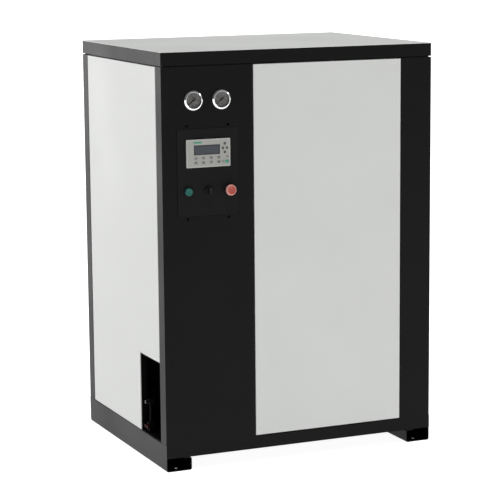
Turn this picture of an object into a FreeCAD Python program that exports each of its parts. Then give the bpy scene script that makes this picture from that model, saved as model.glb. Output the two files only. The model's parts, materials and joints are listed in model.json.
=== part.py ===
import FreeCAD, Part
import math
import os

# Refrigerated compressed-air dryer: a floor-standing sheet-metal cabinet with its refrigeration circuit.
#
# Frame: +X to the right as seen from the front, +Y to the rear, +Z up, millimetres. The origin is on the
# floor, at the centre of the four anchor holes. Each sub-part is written to its own STEP file.

V = FreeCAD.Vector
X_AXIS = V(1, 0, 0)
Y_AXIS = V(0, 1, 0)
Z_AXIS = V(0, 0, 1)
OUT = "parts"

# ---------------------------------------------------------------- driving dimensions: cabinet
WIDTH = 1100.0
DEPTH = 860.0
HEIGHT = 1550.0
HALF_W = WIDTH / 2
HALF_D = DEPTH / 2

SHEET = 2.0  # frame sheet
BEND = 3.0  # outer bend radius of the frame sheet
CUT = 1.0  # how far a cutting solid reaches past the surface it cuts

SKID_W = 100.0
SKID_SHEET = 3.0
SKID_BEND = 8.0
SKID_OUTER_H = 100.0
SKID_INNER_H = 50.0
SKID_LIP = 30.0
ANCHOR_R = 7.0
ANCHOR_INSET = 40.0

PAN_TOP = 53.0
PAN_SHEET = 3.0
PAN_RIB_H = 30.0
SILL_BOTTOM = 52.0
OPENING_BOTTOM = 101.0  # lower edge of the panels
BODY_TOP = 1496.0
COVER_H = 50.0  # rim and cover sheet together
TOP_RING_INSET = 8.0  # leaves a shadow gap under the rim
TOP_RING_W = 40.0
TOP_RING_SHEET = 3.0

COLUMN_X = -190.0  # right edge of the control column
POST_X = 420.0  # left edge of the right-hand post
SIDE_STRIP = 59.0  # width of the frame strips on the two sides
REBATE_DEPTH = 22.0
REBATE_W = 25.0

PANEL_SHEET = 1.5
PANEL_DEPTH = 20.0
PANEL_GAP = 1.5
PANEL_EDGE_RADIUS = 1.4

STUD_HEIGHTS = (150.0, 1440.0)  # ball studs that hold the panels
NOTCH_STUD_Z = 450.0
STUD_LENGTH = 31.0
STUD_R = 3.0
BALL_R = 4.0
CATCH_R = 9.0
CATCH_T = 12.0

LOUVRE_PITCH = 30.0
LOUVRE_W = 250.0
LOUVRE_H = 10.0
LOUVRE_DEPTH = 12.0
LOUVRE_WALL = 1.2
REAR_LOUVRE_Z = 520.0
REAR_LOUVRE_ROWS = 25
RIGHT_LOUVRE_Z = 900.0
RIGHT_LOUVRE_ROWS = 16

NOTCH_W = 208.0  # service notch in the left panel
NOTCH_TOP = 404.0
NICHE_DEPTH = 150.0
NICHE_REAR = -90.0

# ---------------------------------------------------------------- driving dimensions: controls
COLUMN_MIDDLE_X = (COLUMN_X - HALF_W) / 2
CONTROL_OFFSET = 2.0  # the controls sit this far left of the column's middle
CONTROL_X = COLUMN_MIDDLE_X - CONTROL_OFFSET  # centre line of the gauges, plate and switches
PLATE_W = 240.0
PLATE_H = 320.0
PLATE_Z = 1110.0
PLATE_PROUD = 2.0
PLATE_T = 3.0
BOX_DEPTH = 180.0
BOX_SHEET = 1.5
BOX_FLANGE = 26.0
BOX_SCREW_DX = 81.0
BOX_SCREW_DZ = 170.0
BOX_SCREW_HOLE_R = 2.6
COVER_STUDS_X = (-450.0, 0.0, 450.0)
COVER_STUD_R = 3.0
COVER_STUD_LENGTH = 14.0
COVER_FLANGE_H = 12.0

TERMINAL_W = 172.0  # operator panel
TERMINAL_H = 102.0
TERMINAL_Z = 1180.0
TERMINAL_PROUD = 6.0
TERMINAL_BACK_MARGIN = 7.0
KEYPAD_RIM = 4.0
KEYPAD_T = 0.5
# On the operator panel, from its lower left corner.
SCREEN = (29.0, 45.5, 102.0, 35.5)  # x, z, width, height
FUNCTION_KEYS_X = (36.0, 66.0, 96.0, 126.0)
FUNCTION_KEYS_Z = (17.0, 33.5)
ARROWS = ((150.0, 83.0), (142.5, 67.0), (158.5, 67.0), (150.0, 52.0))
ESCAPE_KEY = (160.0, 35.0)
SHIFT_KEY = (143.5, 17.5)
ENTER_KEY = (158.5, 17.5)

SWITCHES = (-1, 0, 1)  # start, selector and emergency stop, from the left
SWITCH_Z = 1042.0
SWITCH_PITCH = 80.0
COLLAR_R = 15.5
COLLAR_LIP = 1.1
COLLAR_PROUD = 6.0
BARREL_R = 11.0
BARREL_BORE = 8.28
STEM_R = 8.2
BARREL_LENGTH = 27.0
BUTTON_R = 14.0
STOP_HEAD_R = 20.0
STOP_PLUNGER_PROUD = 24.0

GAUGE_Z = 1373.0
GAUGE_PITCH = 110.0
GAUGE_R = 37.5
GAUGE_CASE_R = 33.0
GAUGE_CASE_DEPTH = 32.0
BEZEL_BORE = 30.6
DIAL_R = 30.4
DIAL_T = 1.0
LENS_PROUD = 6.6
LENS_T = 1.6
SPINDLE_R = 1.0
NEEDLE_REST_DEG = 225.0  # pointing to the lower left, at the zero stop

# ---------------------------------------------------------------- driving dimensions: air side
EXCHANGER_X = (-500.0, -240.0)
EXCHANGER_Y = (-60.0, 300.0)
EXCHANGER_Z = (640.0, 1320.0)
STRAPS_Z = (750.0, 990.0)
STRAP_H = 25.0
SEPARATOR = V(-370, 120, 0)
SEPARATOR_R = 76.0
SEPARATOR_Z = (190.0, 590.0)
SEPARATOR_WALL = 4.0
NECK_R = 30.0
SPOUT_R = 11.0

PIPE_X = COLUMN_MIDDLE_X  # compressed-air connections on the rear
INLET_Z = 900.0
OUTLET_Z = 1180.0
PIPE_R = 38.05
PIPE_BORE_R = 35.15
FLANGE_R = 92.5
FLANGE_T = 18.0
FLANGE_FACE_Y = HALF_D + 48.0
FLANGE_PCD = 145.0
FLANGE_HOLE_R = 9.0
FLANGE_HOLES = 4

DRAIN_X = -525.0
DRAIN_Y = -205.0
DRAIN_Z = 118.0
DRAIN_OUTLET_Z = 219.0
DRAIN_R = 6.0
DRAIN_STEM_R = 3.0
ELBOW_BELOW = 10.0
VALVE_HALF = 12.0
SPIGOT_R = 6.5
SPIGOT_BORE_R = 4.0
AUTO_DRAIN_Y = (-20.0, 40.0)
GLAND_Y = -290.0
GLAND_Z = 300.0
GLAND_R = 16.0
GLAND_BORE = 8.0
CABLE_R = 6.0

# ---------------------------------------------------------------- driving dimensions: refrigeration
COMPRESSOR = V(60, -130, 0)
COMPRESSOR_R = 120.0
COMPRESSOR_FOOT = 125.0
MOUNT_OFFSET = 105.0
MOUNT_H = 37.0
SHELL_H = 435.0
SHELL_WALL = 18.0
FOOT_PLATE = 6.0
COMPRESSOR_PORT_X = 60.0
SUCTION_R = 14.0
DISCHARGE_R = 9.5
LIQUID_R = 6.4
COPPER_WALL = 1.0

COIL_X = (-160.0, 390.0)
COIL_Y = (330.0, 395.0)
COIL_Z = (480.0, 1280.0)
COIL_FINS = 44
COIL_FIN_RATIO = 0.2
COIL_PLATE = 3.0
COIL_PORTS_Z = (530.0, 1230.0)
COIL_PORT_R = 9.6
COIL_PORT_LENGTH = 25.0

FAN = V(115, 265, 880)
FAN_R = 225.0
FAN_HUB_R = 52.0
FAN_SHAFT_R = 6.0
FAN_BLADES = 5
FAN_BLADE_TILT = 14.0
SHROUD_DEPTH = 42.0
GUARD_PLATE_R = 60.0
GUARD_RINGS = (90.0, 120.0, 150.0, 180.0, 207.0)
GUARD_SPOKES = 12
GUARD_WIRE = 3.0
MOTOR_LENGTH = 95.0
MOTOR_FLUTES = 16

RISER_X = 450.0  # where the discharge and liquid lines run beside the condenser
DRIER = V(300, -330, 0)
DRIER_R = 38.0
DRIER_Z = (300.0, 490.0)
EXPANSION = V(-200, -330, 500)
EXPANSION_H = 60.0
BYPASS = V(-150, -200, 700)
BYPASS_H = 70.0

# ---------------------------------------------------------------- derived places
front_y = -HALF_D
rim_top = HEIGHT - SHEET
plate_y = front_y - PLATE_PROUD  # front surface of the control plate
panel_z0 = OPENING_BOTTOM + PANEL_GAP
panel_z1 = BODY_TOP - PANEL_GAP
side_y = HALF_D - SIDE_STRIP - PANEL_GAP
notch_y = -HALF_D + SIDE_STRIP + NOTCH_W
left_stud_x = COLUMN_X + REBATE_W / 2
right_stud_x = POST_X - REBATE_W / 2
side_stud_y = HALF_D - SIDE_STRIP - REBATE_W / 2
terminal_x0 = CONTROL_X - TERMINAL_W / 2
terminal_z0 = TERMINAL_Z - TERMINAL_H / 2
terminal_y = plate_y - TERMINAL_PROUD
shell_z0 = PAN_TOP + MOUNT_H
port_z = shell_z0 + SHELL_H + 30
terminal_box_z = shell_z0 + 130
terminal_box_y = COMPRESSOR.y - COMPRESSOR_R - 48
guard_y = FAN.y - 29
valve_top = DRAIN_Z + 20
stem_z = DRAIN_Z + 6
coil_port_x = COIL_X[1] + COIL_PORT_LENGTH
coil_y = sum(COIL_Y) / 2


# ---------------------------------------------------------------- helpers
def box(x0, x1, y0, y1, z0, z1):
    return Part.makeBox(x1 - x0, y1 - y0, z1 - z0, V(x0, y0, z0))


def rod(start, direction, radius, length):
    return Part.makeCylinder(radius, length, start, direction)


def tube(start, direction, outer_r, inner_r, length):
    return rod(start, direction, outer_r, length).cut(rod(start, direction, inner_r, length))


def fuse_all(shapes):
    return shapes[0].multiFuse(shapes[1:]).removeSplitter()


def mirrored(shape, normal):
    return shape.mirror(V(0, 0, 0), normal)


def corner(previous, point, following, radius):
    """Start, middle and end of the tangent arc that rounds a corner."""
    a = (previous - point).normalize()
    b = (following - point).normalize()
    half = a.getAngle(b) / 2
    setback = radius / math.tan(half)
    bisector = (a + b).normalize()
    middle = point + bisector * (radius / math.sin(half) - radius)
    return point + a * setback, middle, point + b * setback


def rounded_edges(points, radii, closed):
    """Line and arc edges through the points, each corner rounded by its own radius (0 leaves it sharp)."""
    count = len(points)
    stops = []
    for i, point in enumerate(points):
        ends = not closed and i in (0, count - 1)
        if ends or radii[i] <= 0:
            stops.append((point, None, point))
        else:
            stops.append(corner(points[i - 1], point, points[(i + 1) % count], radii[i]))
    edges = []
    for i, (_, middle, leave) in enumerate(stops):
        if middle is not None:
            edges.append(Part.Arc(stops[i][0], middle, leave).toShape())
        if i + 1 < count or closed:
            arrive = stops[(i + 1) % count][0]
            if (arrive - leave).Length > 1e-6:
                edges.append(Part.LineSegment(leave, arrive).toShape())
    return edges


def prism(points, extrusion, radii=None):
    """A closed outline extruded into a solid."""
    radii = radii or [0] * len(points)
    face = Part.Face(Part.Wire(rounded_edges(points, radii, True)))
    return face.extrude(extrusion)


def offset_path(points, distance):
    """Points of an open 2-D polyline moved to its left by the distance, with mitred corners."""
    moved = []
    for i, (a, b) in enumerate(points):
        normals = []
        for j in (i - 1, i):
            if 0 <= j < len(points) - 1:
                dx = points[j + 1][0] - points[j][0]
                dy = points[j + 1][1] - points[j][1]
                length = math.hypot(dx, dy)
                normals.append((-dy / length, dx / length))
        nx = sum(n[0] for n in normals)
        ny = sum(n[1] for n in normals)
        scale = distance * len(normals) / (nx * nx + ny * ny)
        moved.append((a + nx * scale, b + ny * scale))
    return moved


def folded_sheet(path, place, extrusion, thickness=SHEET, bend=BEND):
    """A bent sheet: its outer line as 2-D points, the material on the line's left, extruded into a solid."""
    inner = offset_path(path, thickness)
    line_radii = []
    inner_radii = []
    for i in range(len(path)):
        if i in (0, len(path) - 1):
            line_radii.append(0)
            inner_radii.append(0)
            continue
        (x0, y0), (x1, y1), (x2, y2) = path[i - 1], path[i], path[i + 1]
        left_turn = (x1 - x0) * (y2 - y1) - (y1 - y0) * (x2 - x1) > 0
        line_radii.append(bend if left_turn else bend - thickness)
        inner_radii.append(bend - thickness if left_turn else bend)
    outline = [place(*p) for p in path + inner[::-1]]
    return prism(outline, extrusion, line_radii + inner_radii[::-1])


def in_plan(x, y):
    return V(x, y, 0)


def raised(z):
    return lambda x, y: V(x, y, z)


def round_edges_where(shape, radius, wanted):
    edges = [e for e in shape.Edges if wanted(e)]
    return shape.makeFillet(radius, edges)


def bent_tube(points, bend, outer_r, inner_r):
    """A round tube along straight runs joined by tangent arcs."""
    points = [V(*p) for p in points]
    path = Part.Wire(rounded_edges(points, [bend] * len(points), False))
    start = points[0]
    direction = points[1] - points[0]

    def sweep(radius):
        circle = Part.Wire(Part.makeCircle(radius, start, direction))
        return path.makePipeShell([circle], True, False)

    return sweep(outer_r).cut(sweep(inner_r)) if inner_r else sweep(outer_r)


def turned(profile, centre):
    """A solid of revolution about an axis along Y: the profile is (radius, distance along the axis)."""
    points = [V(centre.x + r, centre.y + a, centre.z) for r, a in profile]
    face = Part.Face(Part.makePolygon(points + [points[0]]))
    return face.revolve(centre, Y_AXIS, 360)


def spread(centre, count, radius, first_deg=0.0):
    """Points evenly spread on a circle about an axis along Y, each with its outward direction."""
    places = []
    for i in range(count):
        angle = math.radians(first_deg) + 2 * math.pi * i / count
        outward = V(math.cos(angle), 0, math.sin(angle))
        places.append((centre + outward * radius, outward))
    return places


def four_corners(centre, offset):
    return [centre + V(sx * offset, sy * offset, 0) for sx in (-1, 1) for sy in (-1, 1)]


def save(name, shape):
    solids = shape.Solids
    if not solids:
        raise RuntimeError(name + " has no solid")
    result = solids[0] if len(solids) == 1 else Part.Compound(solids)
    if not result.isValid():
        raise RuntimeError(name + " is not valid")
    result.exportStep(os.path.join(OUT, name + ".step"))
    print(f"{name:28s} {len(solids):3d} solids {result.Volume / 1000:10.1f} cm3")


# ---------------------------------------------------------------- base
def skid():
    """Left skid: a lipped channel open at both ends, with an anchor hole near each end."""
    path = [
        (-HALF_W, SKID_OUTER_H),
        (-HALF_W, 0),
        (-HALF_W + SKID_W, 0),
        (-HALF_W + SKID_W, SKID_INNER_H),
        (-HALF_W + SKID_W - SKID_LIP, SKID_INNER_H),
    ]
    length = DEPTH - 2 * SHEET
    start_y = -length / 2
    channel = folded_sheet(path, lambda x, z: V(x, start_y, z), V(0, length, 0), SKID_SHEET, SKID_BEND)
    for sign in (-1, 1):
        hole_at = V(-HALF_W + SKID_W / 2, sign * (HALF_D - ANCHOR_INSET), -CUT)
        channel = channel.cut(rod(hole_at, Z_AXIS, ANCHOR_R, SKID_SHEET + 2 * CUT))
    return channel


def base_pan():
    """Drip pan on the skids' lips, with a rib behind the sill and another before the rear panel."""
    clearance = 1.0
    edge_x = HALF_W - SKID_SHEET - clearance
    edge_y = HALF_D - SHEET - clearance
    rear_rib_y = edge_y - 11
    pan = box(-edge_x, edge_x, -edge_y, edge_y, PAN_TOP - PAN_SHEET, PAN_TOP)
    for y in (-edge_y, rear_rib_y):
        pan = pan.fuse(box(COLUMN_X, POST_X, y, y + PAN_SHEET, PAN_TOP, PAN_TOP + PAN_RIB_H))
    return pan.removeSplitter()


# ---------------------------------------------------------------- frame columns and posts
def left_column():
    """Left-hand column: side strip, front face and the two rebates that the panels close on."""
    side_in = -HALF_D + SIDE_STRIP
    path = [
        (-HALF_W + REBATE_DEPTH, side_in + REBATE_W),
        (-HALF_W + REBATE_DEPTH, side_in),
        (-HALF_W, side_in),
        (-HALF_W, -HALF_D),
        (COLUMN_X, -HALF_D),
        (COLUMN_X, -HALF_D + REBATE_DEPTH),
        (COLUMN_X + REBATE_W, -HALF_D + REBATE_DEPTH),
    ]
    upper = folded_sheet(path, raised(OPENING_BOTTOM), V(0, 0, BODY_TOP - OPENING_BOTTOM))
    lower = box(-HALF_W, COLUMN_X, front_y, front_y + SHEET, SILL_BOTTOM, OPENING_BOTTOM)
    return upper.fuse(lower)


def control_column():
    """Front left column, with the window for the control plate and room for the connection niche."""
    gap = 1.0
    half_w = PLATE_W / 2 + gap
    half_h = PLATE_H / 2 + gap
    y0 = front_y - CUT
    y1 = front_y + SHEET + CUT
    window = box(CONTROL_X - half_w, CONTROL_X + half_w, y0, y1, PLATE_Z - half_h, PLATE_Z + half_h)
    column = left_column().cut(window)
    for side in (-1, 1):
        centre = gauge_centre(side)
        column = column.cut(rod(V(centre.x, y0, centre.z), Y_AXIS, GAUGE_CASE_R + gap, y1 - y0))
    for at in box_screw_places():
        column = column.cut(rod(V(at.x, y0, at.z), Y_AXIS, BOX_SCREW_HOLE_R, y1 - y0))
    niche_room = box(
        -HALF_W + SHEET + gap,
        -HALF_W + REBATE_DEPTH + SHEET + gap,
        front_y + SHEET + BEND,
        front_y + SIDE_STRIP + REBATE_W + CUT,
        OPENING_BOTTOM - CUT,
        NOTCH_TOP + 4 * gap,
    )
    return cut_catch_holes(column.cut(niche_room)).removeSplitter()


def rear_pipe_column():
    column = mirrored(left_column(), Y_AXIS)
    clearance = 3.0
    for z in (INLET_Z, OUTLET_Z):
        start = V(PIPE_X, HALF_D - SHEET - CUT, z)
        column = column.cut(rod(start, Y_AXIS, PIPE_R + clearance, SHEET + 2 * CUT))
    return cut_catch_holes(column).removeSplitter()


def right_post():
    """Front right post: the rebate for the front panel, the front face, the side strip and its rebate."""
    side_in = -HALF_D + SIDE_STRIP
    path = [
        (POST_X - REBATE_W, -HALF_D + REBATE_DEPTH),
        (POST_X, -HALF_D + REBATE_DEPTH),
        (POST_X, -HALF_D),
        (HALF_W, -HALF_D),
        (HALF_W, side_in),
        (HALF_W - REBATE_DEPTH, side_in),
        (HALF_W - REBATE_DEPTH, side_in + REBATE_W),
    ]
    upper = folded_sheet(path, raised(OPENING_BOTTOM), V(0, 0, BODY_TOP - OPENING_BOTTOM))
    lower = box(POST_X, HALF_W, front_y, front_y + SHEET, SILL_BOTTOM, OPENING_BOTTOM)
    return cut_catch_holes(upper.fuse(lower))


def front_sill():
    path = [(front_y + REBATE_DEPTH, OPENING_BOTTOM), (front_y, OPENING_BOTTOM), (front_y, SILL_BOTTOM)]
    return folded_sheet(path, lambda y, z: V(COLUMN_X, y, z), V(POST_X - COLUMN_X, 0, 0))


def top_frame():
    """Black rim: a ring of C-section sheet on a narrower ring that the columns end on."""
    t = SHEET
    w = TOP_RING_W
    y = HALF_D
    bottom = HEIGHT - COVER_H
    rim = box(-HALF_W, HALF_W, -y, y, bottom, rim_top)
    rim = round_edges_where(rim, BEND, lambda e: e.BoundBox.ZLength > 1)
    rim = rim.cut(box(-HALF_W + t, HALF_W - t, -y + t, y - t, bottom + t, rim_top - t))
    x = HALF_W - TOP_RING_INSET
    y = HALF_D - TOP_RING_INSET
    spigot = box(-x, x, -y, y, BODY_TOP, bottom)
    t = TOP_RING_SHEET
    spigot = spigot.cut(box(-x + t, x - t, -y + t, y - t, BODY_TOP - CUT, bottom + CUT))
    ring = rim.fuse(spigot)
    ring = ring.cut(box(-HALF_W + w, HALF_W - w, -HALF_D + w, HALF_D - w, bottom - CUT, rim_top + CUT))
    hole_r = COVER_STUD_R + 0.3
    for at in cover_stud_places():
        ring = ring.cut(rod(V(at.x, at.y, rim_top - SHEET - CUT), Z_AXIS, hole_r, SHEET + 2 * CUT))
    return ring.removeSplitter()


def top_cover():
    """Flat top sheet with a locating flange inside the rim and weld studs through the rim."""
    plate = box(-HALF_W, HALF_W, -HALF_D, HALF_D, rim_top, HEIGHT)
    plate = round_edges_where(plate, BEND, lambda e: e.BoundBox.ZLength > 1)
    plate = round_edges_where(plate, SHEET * 0.7, lambda e: on_face(e, V(0, 0, HEIGHT), Z_AXIS))
    x = HALF_W - TOP_RING_W - 2
    y = HALF_D - TOP_RING_W - 2
    t = SHEET
    flange_z = rim_top - COVER_FLANGE_H
    flange = box(-x, x, -y, y, flange_z, rim_top)
    flange = flange.cut(box(-x + t, x - t, -y + t, y - t, flange_z - CUT, rim_top))
    cover = plate.fuse(flange)
    for at in cover_stud_places():
        tip = at - Z_AXIS * COVER_STUD_LENGTH
        cover = cover.fuse(rod(tip, Z_AXIS, COVER_STUD_R, COVER_STUD_LENGTH + CUT))
    return cover.removeSplitter()


# ---------------------------------------------------------------- removable panels
def tray(outline, place, inward):
    """A panel folded from one sheet: a face and a return along every edge of its rectilinear outline."""
    count = len(outline)
    inner = []
    for i in range(count):
        (x0, y0), (x1, y1), (x2, y2) = outline[i - 1], outline[i], outline[(i + 1) % count]
        inward_x = sign(y0 - y1) + sign(y1 - y2)
        inward_y = sign(x1 - x0) + sign(x2 - x1)
        inner.append((x1 + PANEL_SHEET * inward_x, y1 + PANEL_SHEET * inward_y))
    outer_points = [place(*p) for p in outline]
    body = prism(outer_points, inward * PANEL_DEPTH)
    body = round_edges_where(body, PANEL_EDGE_RADIUS, lambda e: on_face(e, outer_points[0], inward))
    start = inward * PANEL_SHEET
    hollow = prism([place(*p) + start for p in inner], inward * PANEL_DEPTH)
    return body.cut(hollow)


def sign(value):
    return (value > 0) - (value < 0)


def on_face(edge, point, normal):
    return all(abs((v.Point - point).dot(normal)) < 1e-6 for v in edge.Vertexes)


def rectangle(a0, a1, b0, b1):
    return [(a0, b0), (a1, b0), (a1, b1), (a0, b1)]


def stud_places():
    """Panel name to the (foot, inward direction) of each of its ball studs."""
    places = {"front_panel": [], "rear_panel": [], "left_panel": [], "right_panel": []}
    skin = PANEL_SHEET
    for z in STUD_HEIGHTS:
        for x in (left_stud_x, right_stud_x):
            places["front_panel"].append((V(x, -HALF_D + skin, z), Y_AXIS))
            places["rear_panel"].append((V(x, HALF_D - skin, z), Y_AXIS * -1))
        for y in (-side_stud_y, side_stud_y):
            by_notch = y < 0 and z < NOTCH_TOP
            left_z = NOTCH_STUD_Z if by_notch else z
            places["left_panel"].append((V(-HALF_W + skin, y, left_z), X_AXIS))
            places["right_panel"].append((V(HALF_W - skin, y, z), X_AXIS * -1))
    return places


def with_studs(panel, name):
    weld = 0.5
    length = STUD_LENGTH - BALL_R
    for foot, inward in stud_places()[name]:
        stud = rod(foot - inward * weld, inward, STUD_R, length + weld)
        panel = panel.fuse(stud).fuse(Part.makeSphere(BALL_R, foot + inward * length))
    return panel


def cut_catch_holes(shape):
    """The frame's holes that the ball studs pass through."""
    before_rebate = 10.0
    for places in stud_places().values():
        for foot, inward in places:
            start = foot + inward * before_rebate
            shape = shape.cut(rod(start, inward, CATCH_R - SHEET, REBATE_DEPTH - SHEET * 3))
    return shape


def panel_catches():
    """Nylon cups behind the rebates that the ball studs snap into."""
    clearance = 0.4
    catches = []
    for places in stud_places().values():
        for foot, inward in places:
            seat = foot + inward * (REBATE_DEPTH + SHEET - PANEL_SHEET)
            flange = rod(seat, inward, CATCH_R + SHEET, SHEET)
            cup = rod(seat, inward, CATCH_R, CATCH_T)
            bore = rod(seat - inward * CUT, inward, BALL_R + clearance, CATCH_T + 2 * CUT)
            catches.append(flange.fuse(cup).cut(bore))
    return Part.Compound(catches)


def front_panel():
    outline = rectangle(COLUMN_X + PANEL_GAP, POST_X - PANEL_GAP, panel_z0, panel_z1)
    panel = tray(outline, lambda x, z: V(x, -HALF_D, z), Y_AXIS)
    return with_studs(panel, "front_panel")


def rear_panel():
    """Reaches down past the base pan, so its returns are cut short there; louvred before the condenser."""
    z0 = SILL_BOTTOM + PANEL_GAP
    outline = rectangle(COLUMN_X + PANEL_GAP, POST_X - PANEL_GAP, z0, panel_z1)
    panel = tray(outline, lambda x, z: V(x, HALF_D, z), Y_AXIS * -1)
    return_left = 4.0
    pan_room_z = PAN_TOP + PAN_RIB_H + 6
    panel = panel.cut(box(-HALF_W, HALF_W, HALF_D - PANEL_DEPTH - CUT, HALF_D - return_left, 0, pan_room_z))
    edge_to_centre = LOUVRE_W / 2 + 47
    centres = (COLUMN_X + edge_to_centre, POST_X - edge_to_centre)
    rows = [REAR_LOUVRE_Z + i * LOUVRE_PITCH for i in range(REAR_LOUVRE_ROWS)]
    panel = add_louvres(panel, centres, rows, lambda a, d, z: V(a, HALF_D - d, z))
    return with_studs(panel, "rear_panel")


def left_panel():
    """Left panel, with its lower front corner cut out for the connection niche."""
    outline = [
        (notch_y, panel_z0),
        (side_y, panel_z0),
        (side_y, panel_z1),
        (-side_y, panel_z1),
        (-side_y, NOTCH_TOP),
        (notch_y, NOTCH_TOP),
    ]
    panel = tray(outline, lambda y, z: V(-HALF_W, y, z), X_AXIS)
    lip = 6.0
    niche_room = box(-HALF_W + lip, -HALF_W + 30, -side_y - CUT, notch_y + lip, 0, NOTCH_TOP + lip)
    return with_studs(panel.cut(niche_room), "left_panel")


def right_panel():
    outline = rectangle(-side_y, side_y, panel_z0, panel_z1)
    panel = tray(outline, lambda y, z: V(HALF_W, y, z), X_AXIS * -1)
    rows = [RIGHT_LOUVRE_Z + i * LOUVRE_PITCH for i in range(RIGHT_LOUVRE_ROWS)]
    centre = side_y / 2 - 15
    panel = add_louvres(panel, (-centre, centre), rows, lambda a, d, z: V(HALF_W - d, a, z))
    return with_studs(panel, "right_panel")


def add_louvres(panel, centres, rows, place):
    """Inward-pressed louvres: slots, each under a hood that slopes down into the cabinet.

    place turns (distance along the panel, depth behind its face, height) into a point.
    """
    embed = 0.5
    along = place(1, 0, 0) - place(0, 0, 0)
    room_w = along * (LOUVRE_W - 2 * LOUVRE_WALL)
    hoods = []
    slots = []
    for centre in centres:
        a0 = centre - LOUVRE_W / 2
        a1 = a0 + LOUVRE_WALL
        for z in rows:
            top = z + LOUVRE_H
            shell = [(embed, top + 2), (embed, z), (LOUVRE_DEPTH, z)]
            room = [(-CUT, top), (-CUT, z - CUT), (LOUVRE_DEPTH - LOUVRE_WALL, z - CUT), (embed, top)]
            slot = [(-CUT, z), (-CUT, top), (SHEET, top - 2), (SHEET, z)]
            hood = prism([place(a0, d, h) for d, h in shell], along * LOUVRE_W)
            hoods.append(hood.cut(prism([place(a1, d, h) for d, h in room], room_w)))
            slots.append(prism([place(a1, d, h) for d, h in slot], room_w))
    return panel.cut(Part.Compound(slots)).multiFuse(hoods)


# ---------------------------------------------------------------- connection niche
def connection_niche():
    """A black sheet-metal box behind the notch in the left panel, wider inside than its mouth."""
    t = SHEET
    x_mouth = -HALF_W + SHEET + 1
    x_wide = -HALF_W + REBATE_DEPTH + SHEET
    x_back = -HALF_W + NICHE_DEPTH
    y0 = front_y + SIDE_STRIP
    y_mouth = y0 + NOTCH_W - t
    z0 = OPENING_BOTTOM
    z1 = NOTCH_TOP - t
    outer = box(x_mouth, x_back, y0, y_mouth, z0, z1)
    outer = outer.fuse(box(x_wide, x_back, y0, NICHE_REAR, z0, z1))
    inner = box(x_mouth - CUT, x_back - t, y0 + t, y_mouth - t, z0 + t, z1 - t)
    inner = inner.fuse(box(x_wide + t, x_back - t, y0 + t, NICHE_REAR - t, z0 + t, z1 - t))
    niche = outer.cut(inner)
    niche = niche.fuse(box(x_back - t, x_back, y0, NICHE_REAR, PAN_TOP, z0))
    niche = niche.fuse(box(x_wide, x_back, NICHE_REAR - t, NICHE_REAR, PAN_TOP, z0))
    for y, z, radius in ((DRAIN_Y, DRAIN_Z, DRAIN_R + 2), (GLAND_Y, GLAND_Z, GLAND_R)):
        niche = niche.cut(rod(V(x_back - t - CUT, y, z), X_AXIS, radius, t + 2 * CUT))
    return niche.removeSplitter()


# ---------------------------------------------------------------- control box, plate and operator panel
def box_screw_places():
    return [
        V(CONTROL_X + sx * BOX_SCREW_DX, 0, PLATE_Z + sz * BOX_SCREW_DZ)
        for sx in (-1, 1)
        for sz in (-1, 1)
    ]


def cover_stud_places():
    return [V(x, sy * (HALF_D - TOP_RING_W / 2), rim_top) for x in COVER_STUDS_X for sy in (-1, 1)]


def casing_fasteners():
    """Socket screws that hold the control box, and the nuts on the top cover's studs."""
    head_r = 5.0
    head_h = 1.6
    fasteners = []
    for at in box_screw_places():
        seat = V(at.x, front_y, at.z)
        head = Part.makeCone(head_r, head_r * 0.88, head_h, seat, Y_AXIS * -1)
        socket = rod(seat - Y_AXIS * (head_h + CUT), Y_AXIS, head_r * 0.36, head_h * 0.75 + CUT)
        fasteners.append(head.fuse(rod(seat, Y_AXIS, 2.5, 14)).cut(socket))
    nut_h = 5.0
    nut_r = 6.0
    for at in cover_stud_places():
        base = at - Z_AXIS * (SHEET + nut_h)
        turns = [math.radians(60 * k) for k in range(6)]
        nut = prism([base + V(nut_r * math.cos(t), nut_r * math.sin(t), 0) for t in turns], Z_AXIS * nut_h)
        fasteners.append(nut.cut(rod(base - Z_AXIS * CUT, Z_AXIS, COVER_STUD_R + 0.05, nut_h + 2 * CUT)))
    return Part.Compound(fasteners)


def electrical_box():
    """Open-fronted box behind the control plate, with a flange above and below for its screws."""
    x0 = CONTROL_X - PLATE_W / 2
    x1 = CONTROL_X + PLATE_W / 2
    z0 = PLATE_Z - PLATE_H / 2
    z1 = PLATE_Z + PLATE_H / 2
    y0 = plate_y + PLATE_T
    y1 = y0 + BOX_DEPTH
    t = BOX_SHEET
    flange_y = front_y + SHEET
    case = box(x0, x1, y0, y1, z0, z1)
    for za, zb in ((z1, z1 + BOX_FLANGE), (z0 - BOX_FLANGE, z0)):
        case = case.fuse(box(x0, x1, flange_y, flange_y + t, za, zb))
    case = case.cut(box(x0 + t, x1 - t, y0 - CUT, y1 - t, z0 + t, z1 - t))
    for at in box_screw_places():
        case = case.cut(rod(V(at.x, flange_y - CUT, at.z), Y_AXIS, BOX_SCREW_HOLE_R, t + 2 * CUT))
    cable = lead_start()
    cable_way = rod(V(x1 - t - CUT, cable.y, cable.z), X_AXIS, CABLE_R + 0.2, t + 2 * CUT)
    return case.cut(cable_way).removeSplitter()


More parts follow.
